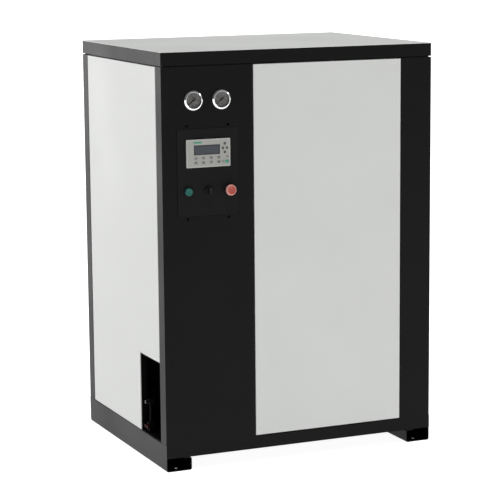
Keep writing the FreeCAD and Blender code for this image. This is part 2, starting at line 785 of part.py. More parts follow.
def control_plate():
    x0 = CONTROL_X - PLATE_W / 2
    plate = box(x0, x0 + PLATE_W, plate_y, plate_y + PLATE_T, PLATE_Z - PLATE_H / 2, PLATE_Z + PLATE_H / 2)
    plate = round_edges_where(plate, 5.0, lambda e: e.BoundBox.YLength > 1)
    plate = round_edges_where(plate, 0.8, lambda e: on_face(e, V(0, plate_y, 0), Y_AXIS))
    margin = TERMINAL_BACK_MARGIN - 1
    y0 = plate_y - CUT
    y1 = plate_y + PLATE_T + CUT
    plate = plate.cut(on_terminal(*MIDDLE, TERMINAL_W - 2 * margin, TERMINAL_H - 2 * margin, y0, y1))
    for index in SWITCHES:
        centre = switch_centre(index)
        plate = plate.cut(rod(V(centre.x, y0, centre.z), Y_AXIS, BARREL_R + 0.25, y1 - y0))
    return plate


MIDDLE = (TERMINAL_W / 2, TERMINAL_H / 2)


def on_terminal(x, z, w, h, y0, y1):
    """A box on the operator panel, centred at (x, z)."""
    cx = terminal_x0 + x
    cz = terminal_z0 + z
    return box(cx - w / 2, cx + w / 2, y0, y1, cz - h / 2, cz + h / 2)


def screen_box(gap, y0, y1):
    """The screen's outline, wider by a gap on each side."""
    x, z, w, h = SCREEN
    return on_terminal(x + w / 2, z + h / 2, w + 2 * gap, h + 2 * gap, y0, y1)


def operator_panel_housing():
    """Bezel on the control plate and the narrower body that reaches back through it."""
    bezel = on_terminal(*MIDDLE, TERMINAL_W, TERMINAL_H, terminal_y, plate_y)
    bezel = round_edges_where(bezel, 3.0, lambda e: e.BoundBox.YLength > 1)
    bezel = round_edges_where(bezel, 1.2, lambda e: on_face(e, V(0, terminal_y, 0), Y_AXIS))
    margin = TERMINAL_BACK_MARGIN
    back_depth = 32.0
    back = on_terminal(
        *MIDDLE, TERMINAL_W - 2 * margin, TERMINAL_H - 2 * margin, plate_y, plate_y + back_depth
    )
    y0 = terminal_y - CUT
    rim = 2 * KEYPAD_RIM
    keypad_room = on_terminal(*MIDDLE, TERMINAL_W - rim, TERMINAL_H - rim, y0, terminal_y + KEYPAD_T)
    return bezel.fuse(back).cut(screen_box(0.4, y0, terminal_y + 2)).cut(keypad_room).removeSplitter()


def operator_panel_keypad():
    """The membrane overlay: one sheet with a window for the screen and its keys embossed."""
    back_y = terminal_y + KEYPAD_T
    rim = 2 * KEYPAD_RIM + 0.4
    sheet = on_terminal(*MIDDLE, TERMINAL_W - rim, TERMINAL_H - rim, terminal_y + 0.1, back_y)
    sheet = sheet.cut(screen_box(0.4, terminal_y - CUT, back_y + CUT))
    keys = []
    for x in FUNCTION_KEYS_X:
        for z in FUNCTION_KEYS_Z:
            keys.append((x, z, 15, 10))
    keys += [(x, z, 9, 9) for x, z in ARROWS]
    keys += [(*ESCAPE_KEY, 13, 8), (*SHIFT_KEY, 10, 11), (*ENTER_KEY, 15, 12)]
    for x, z, w, h in keys:
        key = on_terminal(x, z, w, h, terminal_y - 0.5, terminal_y + 0.2)
        key = round_edges_where(key, 1.5, lambda e: e.BoundBox.YLength > 0.5)
        sheet = sheet.fuse(key)
    return sheet.removeSplitter()


def operator_panel_screen():
    return screen_box(0, terminal_y + 0.4, terminal_y + 2)


# ---------------------------------------------------------------- switches
def switch_centre(index):
    return V(CONTROL_X + index * SWITCH_PITCH, plate_y, SWITCH_Z)


def switch_collars():
    """Front collar and threaded barrel of each of the three control devices."""
    floor = -1.0
    chamfer = 0.6
    lip_r = COLLAR_R - COLLAR_LIP
    profile = [
        (BARREL_BORE, floor),
        (lip_r, floor),
        (lip_r, -COLLAR_PROUD),
        (COLLAR_R - chamfer, -COLLAR_PROUD),
        (COLLAR_R, -COLLAR_PROUD + chamfer),
        (COLLAR_R, 0),
        (BARREL_R, 0),
        (BARREL_R, BARREL_LENGTH),
        (BARREL_BORE, BARREL_LENGTH),
    ]
    return Part.Compound([turned(profile, switch_centre(index)) for index in SWITCHES])


def contact_blocks():
    half_w = 15.0
    half_h = 20.0
    length = 40.0
    terminal_dz = 13.0
    terminal_depth = 6.0
    y0 = plate_y + BARREL_LENGTH
    blocks = []
    for index in SWITCHES:
        c = switch_centre(index)
        block = box(c.x - half_w, c.x + half_w, y0, y0 + length, c.z - half_h, c.z + half_h)
        for dz in (-terminal_dz, terminal_dz):
            start = V(c.x, y0 + length - terminal_depth, c.z + dz)
            block = block.cut(rod(start, Y_AXIS, 3.0, terminal_depth + CUT))
        blocks.append(block)
    return Part.Compound(blocks)


def start_button():
    """Push button: a cap with rounded shoulders on a stem that slides in the barrel."""
    profile = [
        (0, -13.0),
        (BUTTON_R - 1.8, -13.0),
        (BUTTON_R - 0.4, -12.2),
        (BUTTON_R, -10.8),
        (BUTTON_R, -5.2),
        (STEM_R, -5.2),
        (STEM_R, BARREL_LENGTH - 5),
        (0, BARREL_LENGTH - 5),
    ]
    return turned(profile, switch_centre(-1))


def selector_knob():
    """Turn knob: a disc with a raised grip across it and a pointer groove in the grip."""
    c = switch_centre(0)
    profile = [
        (0, -8.0),
        (BUTTON_R - 0.8, -8.0),
        (BUTTON_R, -7.2),
        (BUTTON_R, -1.3),
        (STEM_R, -1.3),
        (STEM_R, BARREL_LENGTH - 5),
        (0, BARREL_LENGTH - 5),
    ]
    grip_half_w = 4.5
    grip_half_h = 13.0
    grip_y = c.y - 22
    grip = box(c.x - grip_half_w, c.x + grip_half_w, grip_y, c.y - 7.5, c.z - grip_half_h, c.z + grip_half_h)
    grip = round_edges_where(grip, 2.0, lambda e: e.BoundBox.YMax < c.y - 7)
    groove = box(c.x - 0.7, c.x + 0.7, grip_y - CUT, grip_y + 0.6, c.z + 3, c.z + grip_half_h + CUT)
    return turned(profile, c).fuse(grip).cut(groove).removeSplitter()


def stop_plunger():
    c = switch_centre(1)
    length = STOP_PLUNGER_PROUD + BARREL_LENGTH - 6
    return rod(V(c.x, c.y - STOP_PLUNGER_PROUD, c.z), Y_AXIS, STEM_R, length)


def stop_button_head():
    """Mushroom head with a dished face; its bore runs on the plunger."""
    bore = STEM_R + 0.05
    profile = [
        (0, -31.0),
        (8.0, -31.4),
        (13.0, -32.4),
        (15.6, -32.2),
        (17.6, -30.6),
        (19.2, -27.4),
        (STOP_HEAD_R, -23.5),
        (STOP_HEAD_R, -20.5),
        (18.6, -18.6),
        (14.0, -16.4),
        (12.0, -12.6),
        (bore, -12.6),
        (bore, -STOP_PLUNGER_PROUD - 0.1),
        (0, -STOP_PLUNGER_PROUD - 0.1),
    ]
    return turned(profile, switch_centre(1))


# ---------------------------------------------------------------- gauges
def gauge_centre(side):
    return V(CONTROL_X + side * GAUGE_PITCH / 2, front_y, GAUGE_Z)


def for_both_gauges(make):
    return Part.Compound([make(gauge_centre(side)) for side in (-1, 1)])


def gauge_case(c):
    """Cup behind the column, its rim carrying the dial, with a hexagon and a threaded neck at the back."""
    wall = 4.0
    back = 2.0
    cup = tube(c, Y_AXIS, GAUGE_CASE_R, GAUGE_CASE_R - wall, GAUGE_CASE_DEPTH)
    cup = cup.fuse(rod(V(c.x, c.y + GAUGE_CASE_DEPTH - back, c.z), Y_AXIS, GAUGE_CASE_R, back))
    neck = rod(V(c.x, c.y + GAUGE_CASE_DEPTH, c.z), Y_AXIS, 7.0, 18)
    hexagon = [at for at, _ in spread(c + V(0, GAUGE_CASE_DEPTH + 4, 0), 6, 9.0)]
    nut = prism(hexagon, V(0, 9, 0))
    return cup.fuse(neck).fuse(nut).removeSplitter()


def gauge_bezel(c):
    """Rolled ring that clamps the lens: a round bead outside, a conical face and a lip inside."""
    lip_r = BEZEL_BORE - 1
    bead = [
        (GAUGE_R, 0.0),
        (GAUGE_R, -4.0),
        (GAUGE_R - 0.6, -6.4),
        (GAUGE_R - 1.8, -8.3),
        (GAUGE_R - 3.4, -9.3),
        (GAUGE_R - 5.0, -9.0),
        (lip_r, -LENS_PROUD - 0.5),
        (lip_r, -LENS_PROUD),
        (BEZEL_BORE, -LENS_PROUD),
        (BEZEL_BORE, 0.0),
    ]
    return turned(bead, c)


def gauge_dial(c):
    return tube(V(c.x, c.y - DIAL_T, c.z), Y_AXIS, DIAL_R, SPINDLE_R + 0.05, DIAL_T)


def gauge_lens(c):
    return rod(V(c.x, c.y - LENS_PROUD, c.z), Y_AXIS, DIAL_R, LENS_T)


def needle(side):
    """Pointer with a counterweight tail, drawn upright and turned to the zero stop."""
    c = gauge_centre(side)
    y0 = c.y - 3.2
    sheet = V(0, 0.8, 0)
    blade_outline = ((-1.4, 0), (1.4, 0), (0.5, 24.5), (-0.5, 24.5))
    tail_outline = ((-1.3, 0), (-2.4, -11), (2.4, -11), (1.3, 0))
    blade = prism([V(c.x + dx, y0, c.z + dz) for dx, dz in blade_outline], sheet)
    tail = prism([V(c.x + dx, y0, c.z + dz) for dx, dz in tail_outline], sheet)
    hub = rod(V(c.x, c.y - 3.8, c.z), Y_AXIS, 3.2, 2.7)
    spindle = rod(V(c.x, c.y - 1.5, c.z), Y_AXIS, SPINDLE_R, 6.0)
    pointer = fuse_all([blade, tail, hub, spindle])
    pointer.rotate(c, Y_AXIS, NEEDLE_REST_DEG)
    return pointer


# ---------------------------------------------------------------- refrigeration: compressor
def compressor_shell():
    """Hermetic shell with a weld seam, a square foot plate and its suction and discharge stubs."""
    c = COMPRESSOR
    bottom = shell_z0 + 5
    wall = SHELL_WALL
    dome_r = 62.0
    outer = rod(V(c.x, c.y, bottom), Z_AXIS, COMPRESSOR_R, SHELL_H)
    outer = round_edges_where(outer, dome_r, lambda e: e.BoundBox.ZLength < 1)
    inner = rod(V(c.x, c.y, bottom + wall), Z_AXIS, COMPRESSOR_R - wall, SHELL_H - 2 * wall)
    inner = round_edges_where(inner, dome_r - wall, lambda e: e.BoundBox.ZLength < 1)
    seam = rod(V(c.x, c.y, shell_z0 + SHELL_H * 0.62), Z_AXIS, COMPRESSOR_R + 4, 16)
    half = COMPRESSOR_FOOT
    foot = box(c.x - half, c.x + half, c.y - half, c.y + half, shell_z0, shell_z0 + FOOT_PLATE)
    foot = round_edges_where(foot, 20.0, lambda e: e.BoundBox.ZLength > 1)
    ports = []
    for x, radius in ((c.x - COMPRESSOR_PORT_X, SUCTION_R + 3), (c.x + COMPRESSOR_PORT_X, DISCHARGE_R + 2.5)):
        ports.append(rod(V(x, c.y, port_z - 90), Z_AXIS, radius, 90))
    body = fuse_all([outer, seam, foot, *ports]).cut(inner)
    for at in four_corners(c, MOUNT_OFFSET):
        body = body.cut(rod(V(at.x, at.y, shell_z0 - CUT), Z_AXIS, 6.0, FOOT_PLATE + 2 * CUT))
    return body


def compressor_mounts():
    """Rubber feet, each with the stud through the foot plate and its washer."""
    mounts = []
    for corner_at in four_corners(COMPRESSOR, MOUNT_OFFSET):
        at = corner_at + V(0, 0, PAN_TOP)
        foot = Part.makeCone(24, 18, MOUNT_H, at, Z_AXIS)
        stud = rod(at, Z_AXIS, 5.5, MOUNT_H + 14)
        washer = rod(V(at.x, at.y, shell_z0 + FOOT_PLATE), Z_AXIS, 13, 4)
        mounts.append(foot.fuse(stud).fuse(washer))
    return Part.Compound(mounts)


def compressor_terminal_box():
    c = COMPRESSOR
    half_w = 45.0
    z1 = terminal_box_z + 110
    block = box(c.x - half_w, c.x + half_w, terminal_box_y, c.y - 90, terminal_box_z, z1)
    block = round_edges_where(block, 6.0, lambda e: e.BoundBox.YMax < terminal_box_y + 8)
    return block.cut(rod(V(c.x, c.y, terminal_box_z - CUT), Z_AXIS, COMPRESSOR_R, 110 + 2 * CUT))


# ---------------------------------------------------------------- refrigeration: condenser and fan
def condenser_coil():
    """Finned block between two end plates that reach down to the base pan as legs."""
    x0, x1 = COIL_X
    y0, y1 = COIL_Y
    z0, z1 = COIL_Z
    t = COIL_PLATE
    core = box(x0 + t, x1 - t, y0 + 20, y1 - 20, z0 + t, z1 - t)
    margin = 10.0
    pitch = (z1 - z0 - 2 * margin) / COIL_FINS
    fins = []
    for i in range(COIL_FINS):
        z = z0 + margin + i * pitch
        fins.append(box(x0 + t, x1 - t, y0 + t, y1 - t, z, z + pitch * COIL_FIN_RATIO))
    plates = [box(x, x + t, y0, y1, PAN_TOP, z1) for x in (x0, x1 - t)]
    caps = [box(x0, x1, y0, y1, z, z + t) for z in (z0, z1 - t)]
    length = coil_port_x - x1 + 1
    ports = [rod(V(x1 - 1, coil_y, z), X_AXIS, COIL_PORT_R, length) for z in COIL_PORTS_Z]
    return core.multiFuse(fins + plates + caps + ports).removeSplitter()


def fan_shroud():
    """Hood over the condenser's inner face, with a collar around the fan."""
    x0, x1 = COIL_X
    z0, z1 = COIL_Z
    t = SHEET
    y1 = COIL_Y[0]
    y0 = y1 - SHROUD_DEPTH
    bore_r = FAN_R + 6
    collar_y = FAN.y - 25
    hood = box(x0, x1, y0, y1, z0, z1).cut(box(x0 + t, x1 - t, y0 + t, y1 + CUT, z0 + t, z1 - t))
    hood = hood.fuse(rod(V(FAN.x, collar_y, FAN.z), Y_AXIS, bore_r + t, y0 + t - collar_y))
    return hood.cut(rod(V(FAN.x, collar_y - CUT, FAN.z), Y_AXIS, bore_r, y1 - collar_y)).removeSplitter()


def fan_rotor():
    """Hub with tilted blades on the motor's shaft."""
    hub = rod(V(FAN.x, FAN.y - 18, FAN.z), Y_AXIS, FAN_HUB_R, 40)
    hub = round_edges_where(hub, 6.0, lambda e: e.BoundBox.YLength < 1)
    swept = tube(V(FAN.x, FAN.y - 30, FAN.z), Y_AXIS, FAN_R, FAN_HUB_R - 6, 70)
    half_w = 80.0
    half_t = 1.5
    blades = []
    for i in range(FAN_BLADES):
        z0 = FAN.z + 30
        blade = box(FAN.x - half_w, FAN.x + half_w, FAN.y - half_t, FAN.y + half_t, z0, FAN.z + FAN_R + 20)
        blade = round_edges_where(blade, 45.0, lambda e: e.BoundBox.YLength > 2 and e.BoundBox.ZMax > z0 + 70)
        blade.rotate(FAN, Z_AXIS, FAN_BLADE_TILT)
        blade = blade.common(swept)
        blade.rotate(FAN, Y_AXIS, i * 360 / FAN_BLADES)
        blades.append(blade)
    shaft = rod(V(FAN.x, FAN.y - 48, FAN.z), Y_AXIS, FAN_SHAFT_R, 40)
    return fuse_all([hub, shaft, *blades])


def fan_guard():
    """Wire guard on the inner side of the fan; its centre plate carries the motor."""
    half_wire = GUARD_WIRE / 2
    plate = rod(V(FAN.x, guard_y, FAN.z), Y_AXIS, GUARD_PLATE_R, 4)
    ring_at = V(FAN.x, guard_y + 1, FAN.z)
    rings = [tube(ring_at, Y_AXIS, FAN_R + 13, FAN_R + 1, GUARD_WIRE)]
    for radius in GUARD_RINGS:
        rings.append(tube(ring_at, Y_AXIS, radius + half_wire, radius - half_wire, GUARD_WIRE))
    spoke_start = GUARD_PLATE_R - 10
    spokes = []
    for at, outward in spread(ring_at + V(0, half_wire, 0), GUARD_SPOKES, spoke_start):
        spokes.append(rod(at, outward, 2.0, FAN_R + 4 - spoke_start))
    guard = fuse_all([plate, *rings, *spokes])
    return guard.cut(rod(V(FAN.x, guard_y - CUT, FAN.z), Y_AXIS, 2 * FAN_SHAFT_R, 8))


def fan_motor():
    """Fluted motor body on the guard's centre plate, bored for the fan's shaft."""
    y0 = guard_y - MOTOR_LENGTH
    body = rod(V(FAN.x, y0, FAN.z), Y_AXIS, FAN_HUB_R, MOTOR_LENGTH)
    body = round_edges_where(body, 8.0, lambda e: e.BoundBox.YMax < y0 + 5)
    for at, _ in spread(V(FAN.x, y0 + 15, FAN.z), MOTOR_FLUTES, FAN_HUB_R + 2):
        body = body.cut(rod(at, Y_AXIS, 5.0, MOTOR_LENGTH - 33))
    return body.cut(rod(V(FAN.x, guard_y - 25, FAN.z), Y_AXIS, FAN_SHAFT_R + 0.05, 30))


# ---------------------------------------------------------------- refrigeration: pipework and valves
def discharge_pipe():
    start_x = COMPRESSOR.x + COMPRESSOR_PORT_X
    run_z = 660.0
    points = [
        (start_x, COMPRESSOR.y, port_z),
        (start_x, COMPRESSOR.y, run_z),
        (RISER_X, COMPRESSOR.y, run_z),
        (RISER_X, coil_y, run_z),
        (RISER_X, coil_y, COIL_PORTS_Z[1]),
        (coil_port_x, coil_y, COIL_PORTS_Z[1]),
    ]
    return bent_tube(points, 28, DISCHARGE_R, DISCHARGE_R - COPPER_WALL)


def liquid_pipes():
    """Condenser to filter drier, drier to expansion valve, and valve to evaporator."""
    low_z = 250.0
    entry_z = 800.0
    first = [
        (coil_port_x, coil_y, COIL_PORTS_Z[0]),
        (RISER_X, coil_y, COIL_PORTS_Z[0]),
        (RISER_X, DRIER.y, COIL_PORTS_Z[0]),
        (DRIER.x, DRIER.y, COIL_PORTS_Z[0]),
        (DRIER.x, DRIER.y, DRIER_Z[1] + 6),
    ]
    second = [
        (DRIER.x, DRIER.y, DRIER_Z[0] - 6),
        (DRIER.x, DRIER.y, low_z),
        (EXPANSION.x, EXPANSION.y, low_z),
        (EXPANSION.x, EXPANSION.y, EXPANSION.z),
    ]
    third = [
        (EXPANSION.x, EXPANSION.y, EXPANSION.z + EXPANSION_H),
        (EXPANSION.x, EXPANSION.y, entry_z),
        (EXPANSION.x, 0, entry_z),
        (EXCHANGER_X[1], 0, entry_z),
    ]
    bore_r = LIQUID_R - COPPER_WALL
    return Part.Compound([bent_tube(p, 22, LIQUID_R, bore_r) for p in (first, second, third)])


def suction_pipe():
    end_x = COMPRESSOR.x - COMPRESSOR_PORT_X
    exit_y = 130.0
    run_x = -120.0
    run_z = 1180.0
    points = [
        (EXCHANGER_X[1], exit_y, run_z),
        (run_x, exit_y, run_z),
        (run_x, COMPRESSOR.y, run_z),
        (end_x, COMPRESSOR.y, run_z),
        (end_x, COMPRESSOR.y, port_z),
    ]
    return bent_tube(points, 45, SUCTION_R, SUCTION_R - COPPER_WALL)


def hot_gas_bypass():
    """Bypass valve with its two lines: from the discharge line to the evaporator inlet."""
    x, y, z = BYPASS
    tee_x = COMPRESSOR.x + COMPRESSOR_PORT_X
    tee_z = 610.0
    entry_y = 60.0
    entry_z = 860.0
    first = [(tee_x, COMPRESSOR.y - DISCHARGE_R, tee_z), (tee_x, y, tee_z), (x, y, tee_z), (x, y, z + 2)]
    second = [
        (x, y, z + BYPASS_H - 2),
        (x, y, entry_z),
        (x, entry_y, entry_z),
        (EXCHANGER_X[1], entry_y, entry_z),
    ]
    side_z = z + BYPASS_H / 2
    body = rod(BYPASS, Z_AXIS, 17, BYPASS_H)
    body = body.fuse(rod(V(x, y, side_z), X_AXIS, 13, 48))
    body = body.fuse(rod(V(x + 46, y, side_z), X_AXIS, 26, 22))
    lines = [bent_tube(points, 20, LIQUID_R, 0) for points in (first, second)]
    discharge = rod(V(tee_x, COMPRESSOR.y, tee_z - 45), Z_AXIS, DISCHARGE_R, 90)
    return fuse_all([body, *lines]).cut(discharge)


def expansion_valve():
    """Thermostatic valve: a body across the line with its power head to one side."""
    at = EXPANSION + V(0, 0, EXPANSION_H / 2)
    body = rod(EXPANSION, Z_AXIS, 15, EXPANSION_H)
    body = body.fuse(rod(at, X_AXIS, 11, 42))
    head = Part.makeCone(24, 20, 16, at + X_AXIS * 40, X_AXIS)
    return body.fuse(head).removeSplitter()


def filter_drier():
    z0, z1 = DRIER_Z
    stub = 6.0
    body = rod(V(DRIER.x, DRIER.y, z0), Z_AXIS, DRIER_R, z1 - z0)
    body = round_edges_where(body, 16.0, lambda e: e.BoundBox.ZLength < 1)
    ends = rod(V(DRIER.x, DRIER.y, z0 - stub), Z_AXIS, 11, z1 - z0 + 2 * stub)
    return body.fuse(ends).removeSplitter()


# ---------------------------------------------------------------- air side
def heat_exchanger():
    """Insulated plate-fin block: air-to-air exchanger over evaporator, in one strapped foam jacket."""
    corner_r = 12.0
    strap_t = 2.0

    def block(grow, z0, z1):
        (xa, xb), (ya, yb) = EXCHANGER_X, EXCHANGER_Y
        shape = box(xa - grow, xb + grow, ya - grow, yb + grow, z0, z1)
        return round_edges_where(shape, corner_r + grow, lambda e: e.BoundBox.ZLength > 10)

    jacket = block(0, *EXCHANGER_Z)
    for z in STRAPS_Z:
        strap = block(strap_t, z, z + STRAP_H).cut(block(0, z - CUT, z + STRAP_H + CUT))
        jacket = jacket.fuse(strap)
    return jacket.removeSplitter()


def exchanger_stand():
    """Top plate on four angle legs."""
    x0, x1 = EXCHANGER_X
    y0, y1 = EXCHANGER_Y
    z1 = EXCHANGER_Z[0]
    top_t = 4.0
    leg_w = 40.0
    leg_t = 3.0
    leg_z1 = z1 - top_t
    shapes = [box(x0, x1, y0, y1, leg_z1, z1)]
    for xa, xb in ((x0, x0 + leg_t), (x1 - leg_t, x1)):
        for ya, yb in ((y0, y0 + leg_w), (y1 - leg_w, y1)):
            shapes.append(box(xa, xb, ya, yb, PAN_TOP, leg_z1))
    for xa, xb in ((x0, x0 + leg_w), (x1 - leg_w, x1)):
        for ya, yb in ((y0, y0 + leg_t), (y1 - leg_t, y1)):
            shapes.append(box(xa, xb, ya, yb, PAN_TOP, leg_z1))
    neck_hole = rod(V(SEPARATOR.x, SEPARATOR.y, leg_z1 - CUT), Z_AXIS, NECK_R + 3, top_t + 2 * CUT)
    return fuse_all(shapes).cut(neck_hole)


def moisture_separator():
    """Welded vessel under the exchanger, open through its neck and its drain spout."""
    x, y, _ = SEPARATOR
    z0, z1 = SEPARATOR_Z
    wall = SEPARATOR_WALL
    dome_r = 34.0
    spout_z = z0 - 20
    neck_z1 = EXCHANGER_Z[0]
    vessel = rod(V(x, y, z0), Z_AXIS, SEPARATOR_R, z1 - z0)
    vessel = round_edges_where(vessel, dome_r, lambda e: e.BoundBox.ZLength < 1)
    neck = rod(V(x, y, z1 - 10), Z_AXIS, NECK_R, neck_z1 - z1 + 10)
    spout = rod(V(x, y, spout_z), Z_AXIS, SPOUT_R, 30)
    room = rod(V(x, y, z0 + wall), Z_AXIS, SEPARATOR_R - wall, z1 - z0 - 2 * wall)
    room = round_edges_where(room, dome_r - wall, lambda e: e.BoundBox.ZLength < 1)
    neck_bore = rod(V(x, y, z1 - 20), Z_AXIS, NECK_R - wall, neck_z1 - z1 + 20 + CUT)
    spout_bore = rod(V(x, y, spout_z - CUT), Z_AXIS, SPOUT_R - wall, 40)
    return fuse_all([vessel, neck, spout]).cut(room).cut(neck_bore).cut(spout_bore)


def air_pipe(z):
    """Connection pipe from the exchanger through the rear column, with its bolting flange."""
    start = V(PIPE_X, EXCHANGER_Y[1], z)
    length = FLANGE_FACE_Y - EXCHANGER_Y[1]
    pipe = rod(start, Y_AXIS, PIPE_R, length)
    flange = rod(V(PIPE_X, FLANGE_FACE_Y - FLANGE_T, z), Y_AXIS, FLANGE_R, FLANGE_T)
    flange = round_edges_where(flange, 1.0, lambda e: e.BoundBox.YMax > FLANGE_FACE_Y - 1)
    fitting = pipe.fuse(flange).cut(rod(start, Y_AXIS, PIPE_BORE_R, length))
    hole_centre = V(PIPE_X, FLANGE_FACE_Y - FLANGE_T - CUT, z)
    for at, _ in spread(hole_centre, FLANGE_HOLES, FLANGE_PCD / 2, 45):
        fitting = fitting.cut(rod(at, Y_AXIS, FLANGE_HOLE_R, FLANGE_T + 2 * CUT))
    return fitting


# ---------------------------------------------------------------- condensate drain
def drain_pipes():
    """Separator to automatic valve, valve to the hand valve in the niche, and the riser to the outlet."""
    first = [
        (SEPARATOR.x, SEPARATOR.y, SEPARATOR_Z[0] - 20),
        (SEPARATOR.x, SEPARATOR.y, DRAIN_Z),
        (SEPARATOR.x, AUTO_DRAIN_Y[1], DRAIN_Z),
    ]
    second = [
        (SEPARATOR.x, AUTO_DRAIN_Y[0], DRAIN_Z),
        (SEPARATOR.x, DRAIN_Y, DRAIN_Z),
        (DRAIN_X + VALVE_HALF, DRAIN_Y, DRAIN_Z),
    ]
    riser = rod(V(DRAIN_X, DRAIN_Y, valve_top), Z_AXIS, DRAIN_R, DRAIN_OUTLET_Z - ELBOW_BELOW - valve_top)
    return Part.Compound([bent_tube(first, 18, DRAIN_R, 0), bent_tube(second, 18, DRAIN_R, 0), riser])


def drain_valve():
    """Hand valve standing on the niche's floor, with its stem facing out of the notch."""
    half = VALVE_HALF
    base_z = OPENING_BOTTOM + SHEET
    body = box(DRAIN_X - half, DRAIN_X + half, DRAIN_Y - half, DRAIN_Y + half, base_z, valve_top)
    body = round_edges_where(body, 3.0, lambda e: e.BoundBox.ZLength > 10)
    stem = rod(V(DRAIN_X - half - 5, DRAIN_Y, stem_z), X_AXIS, DRAIN_STEM_R, 6)
    return body.fuse(stem).removeSplitter()


def drain_valve_handle():
    """Wing handle across the flow: the valve is shut."""
    x1 = DRAIN_X - VALVE_HALF - 0.5
    span = 18.0
    half_h = 6.0
    hub = rod(V(x1 - 9, DRAIN_Y, stem_z), X_AXIS, 7.0, 9)
    wing = box(x1 - 8, x1 - 3, DRAIN_Y - span, DRAIN_Y + span, stem_z - half_h, stem_z + half_h)
    wing = round_edges_where(wing, 4.0, lambda e: e.BoundBox.XLength > 2)
    bore = rod(V(x1 - 5, DRAIN_Y, stem_z), X_AXIS, DRAIN_STEM_R + 0.05, 6)
    return hub.fuse(wing).cut(bore).removeSplitter()


def drain_outlet():
    """Elbow fitting at the top of the riser with a plain hose spigot facing out of the notch."""
    z = DRAIN_OUTLET_Z
    half = 9.0
    spigot_x = -HALF_W + 3
    body = box(DRAIN_X - half, DRAIN_X + half, DRAIN_Y - half, DRAIN_Y + half, z - ELBOW_BELOW, z + half)
    body = round_edges_where(body, 2.0, lambda e: True)
    spigot = rod(V(spigot_x, DRAIN_Y, z), X_AXIS, SPIGOT_R, DRAIN_X - half - spigot_x + CUT)
    bore = rod(V(spigot_x - CUT, DRAIN_Y, z), X_AXIS, SPIGOT_BORE_R, 18)
    return body.fuse(spigot).cut(bore).removeSplitter()


def auto_drain_valve():
    """Timed drain: valve body on a post, solenoid coil and timer stacked on it."""
    x = SEPARATOR.x
    y0, y1 = AUTO_DRAIN_Y
    half = 18.0
    coil_z = DRAIN_Z + half - 1
    timer_z = coil_z + 43
    blocks = [
        (box(x - 20, x + 20, y0, y1, DRAIN_Z - half, DRAIN_Z + half), 3.0),
        (box(x - half, x + half, y0 + 12, y1 - 8, coil_z, timer_z + 2), 4.0),
        (box(x - 22, x + 22, y0 + 8, y1 - 4, timer_z, timer_z + 28), 3.0),
    ]
    shapes = [round_edges_where(shape, radius, lambda e: True) for shape, radius in blocks]
    post = rod(V(x, (y0 + y1) / 2, PAN_TOP), Z_AXIS, 8.0, DRAIN_Z - half - PAN_TOP + 1)
    return fuse_all([*shapes, post])


def cable_gland():
    """Gland through the niche's inner wall for the customer's supply cable."""
    x_back = -HALF_W + NICHE_DEPTH
    inner_x = x_back - SHEET
    steps = [
        (inner_x - 22, 15.0, 12.0),
        (inner_x - 10, 18.0, 10.0),
        (inner_x, GLAND_R - 0.3, SHEET),
        (x_back, 19.0, 8.0),
    ]
    shapes = [rod(V(x, GLAND_Y, GLAND_Z), X_AXIS, radius, length) for x, radius, length in steps]
    return fuse_all(shapes).cut(rod(V(inner_x - 30, GLAND_Y, GLAND_Z), X_AXIS, GLAND_BORE, 60))


def lead_start():
    """Where the compressor's lead leaves the side of the electrical box."""
    return V(CONTROL_X + PLATE_W / 2, plate_y + PLATE_T + BOX_DEPTH - 60, PLATE_Z - PLATE_H / 2 + 50)


def wiring():
    """Compressor lead: down beside the column, across before the pipework, into the terminal box."""
    start = lead_start()
    down_x = start.x + 25
    front_run_y = -380.0
    end_z = terminal_box_z + 55
    points = [
        (start.x - 8, start.y, start.z),
        (down_x, start.y, start.z),
        (down_x, start.y, 520),
        (down_x, front_run_y, 440),
        (COMPRESSOR.x, front_run_y, end_z),
        (COMPRESSOR.x, terminal_box_y, end_z),
    ]
    return bent_tube(points, 20, CABLE_R, 0)


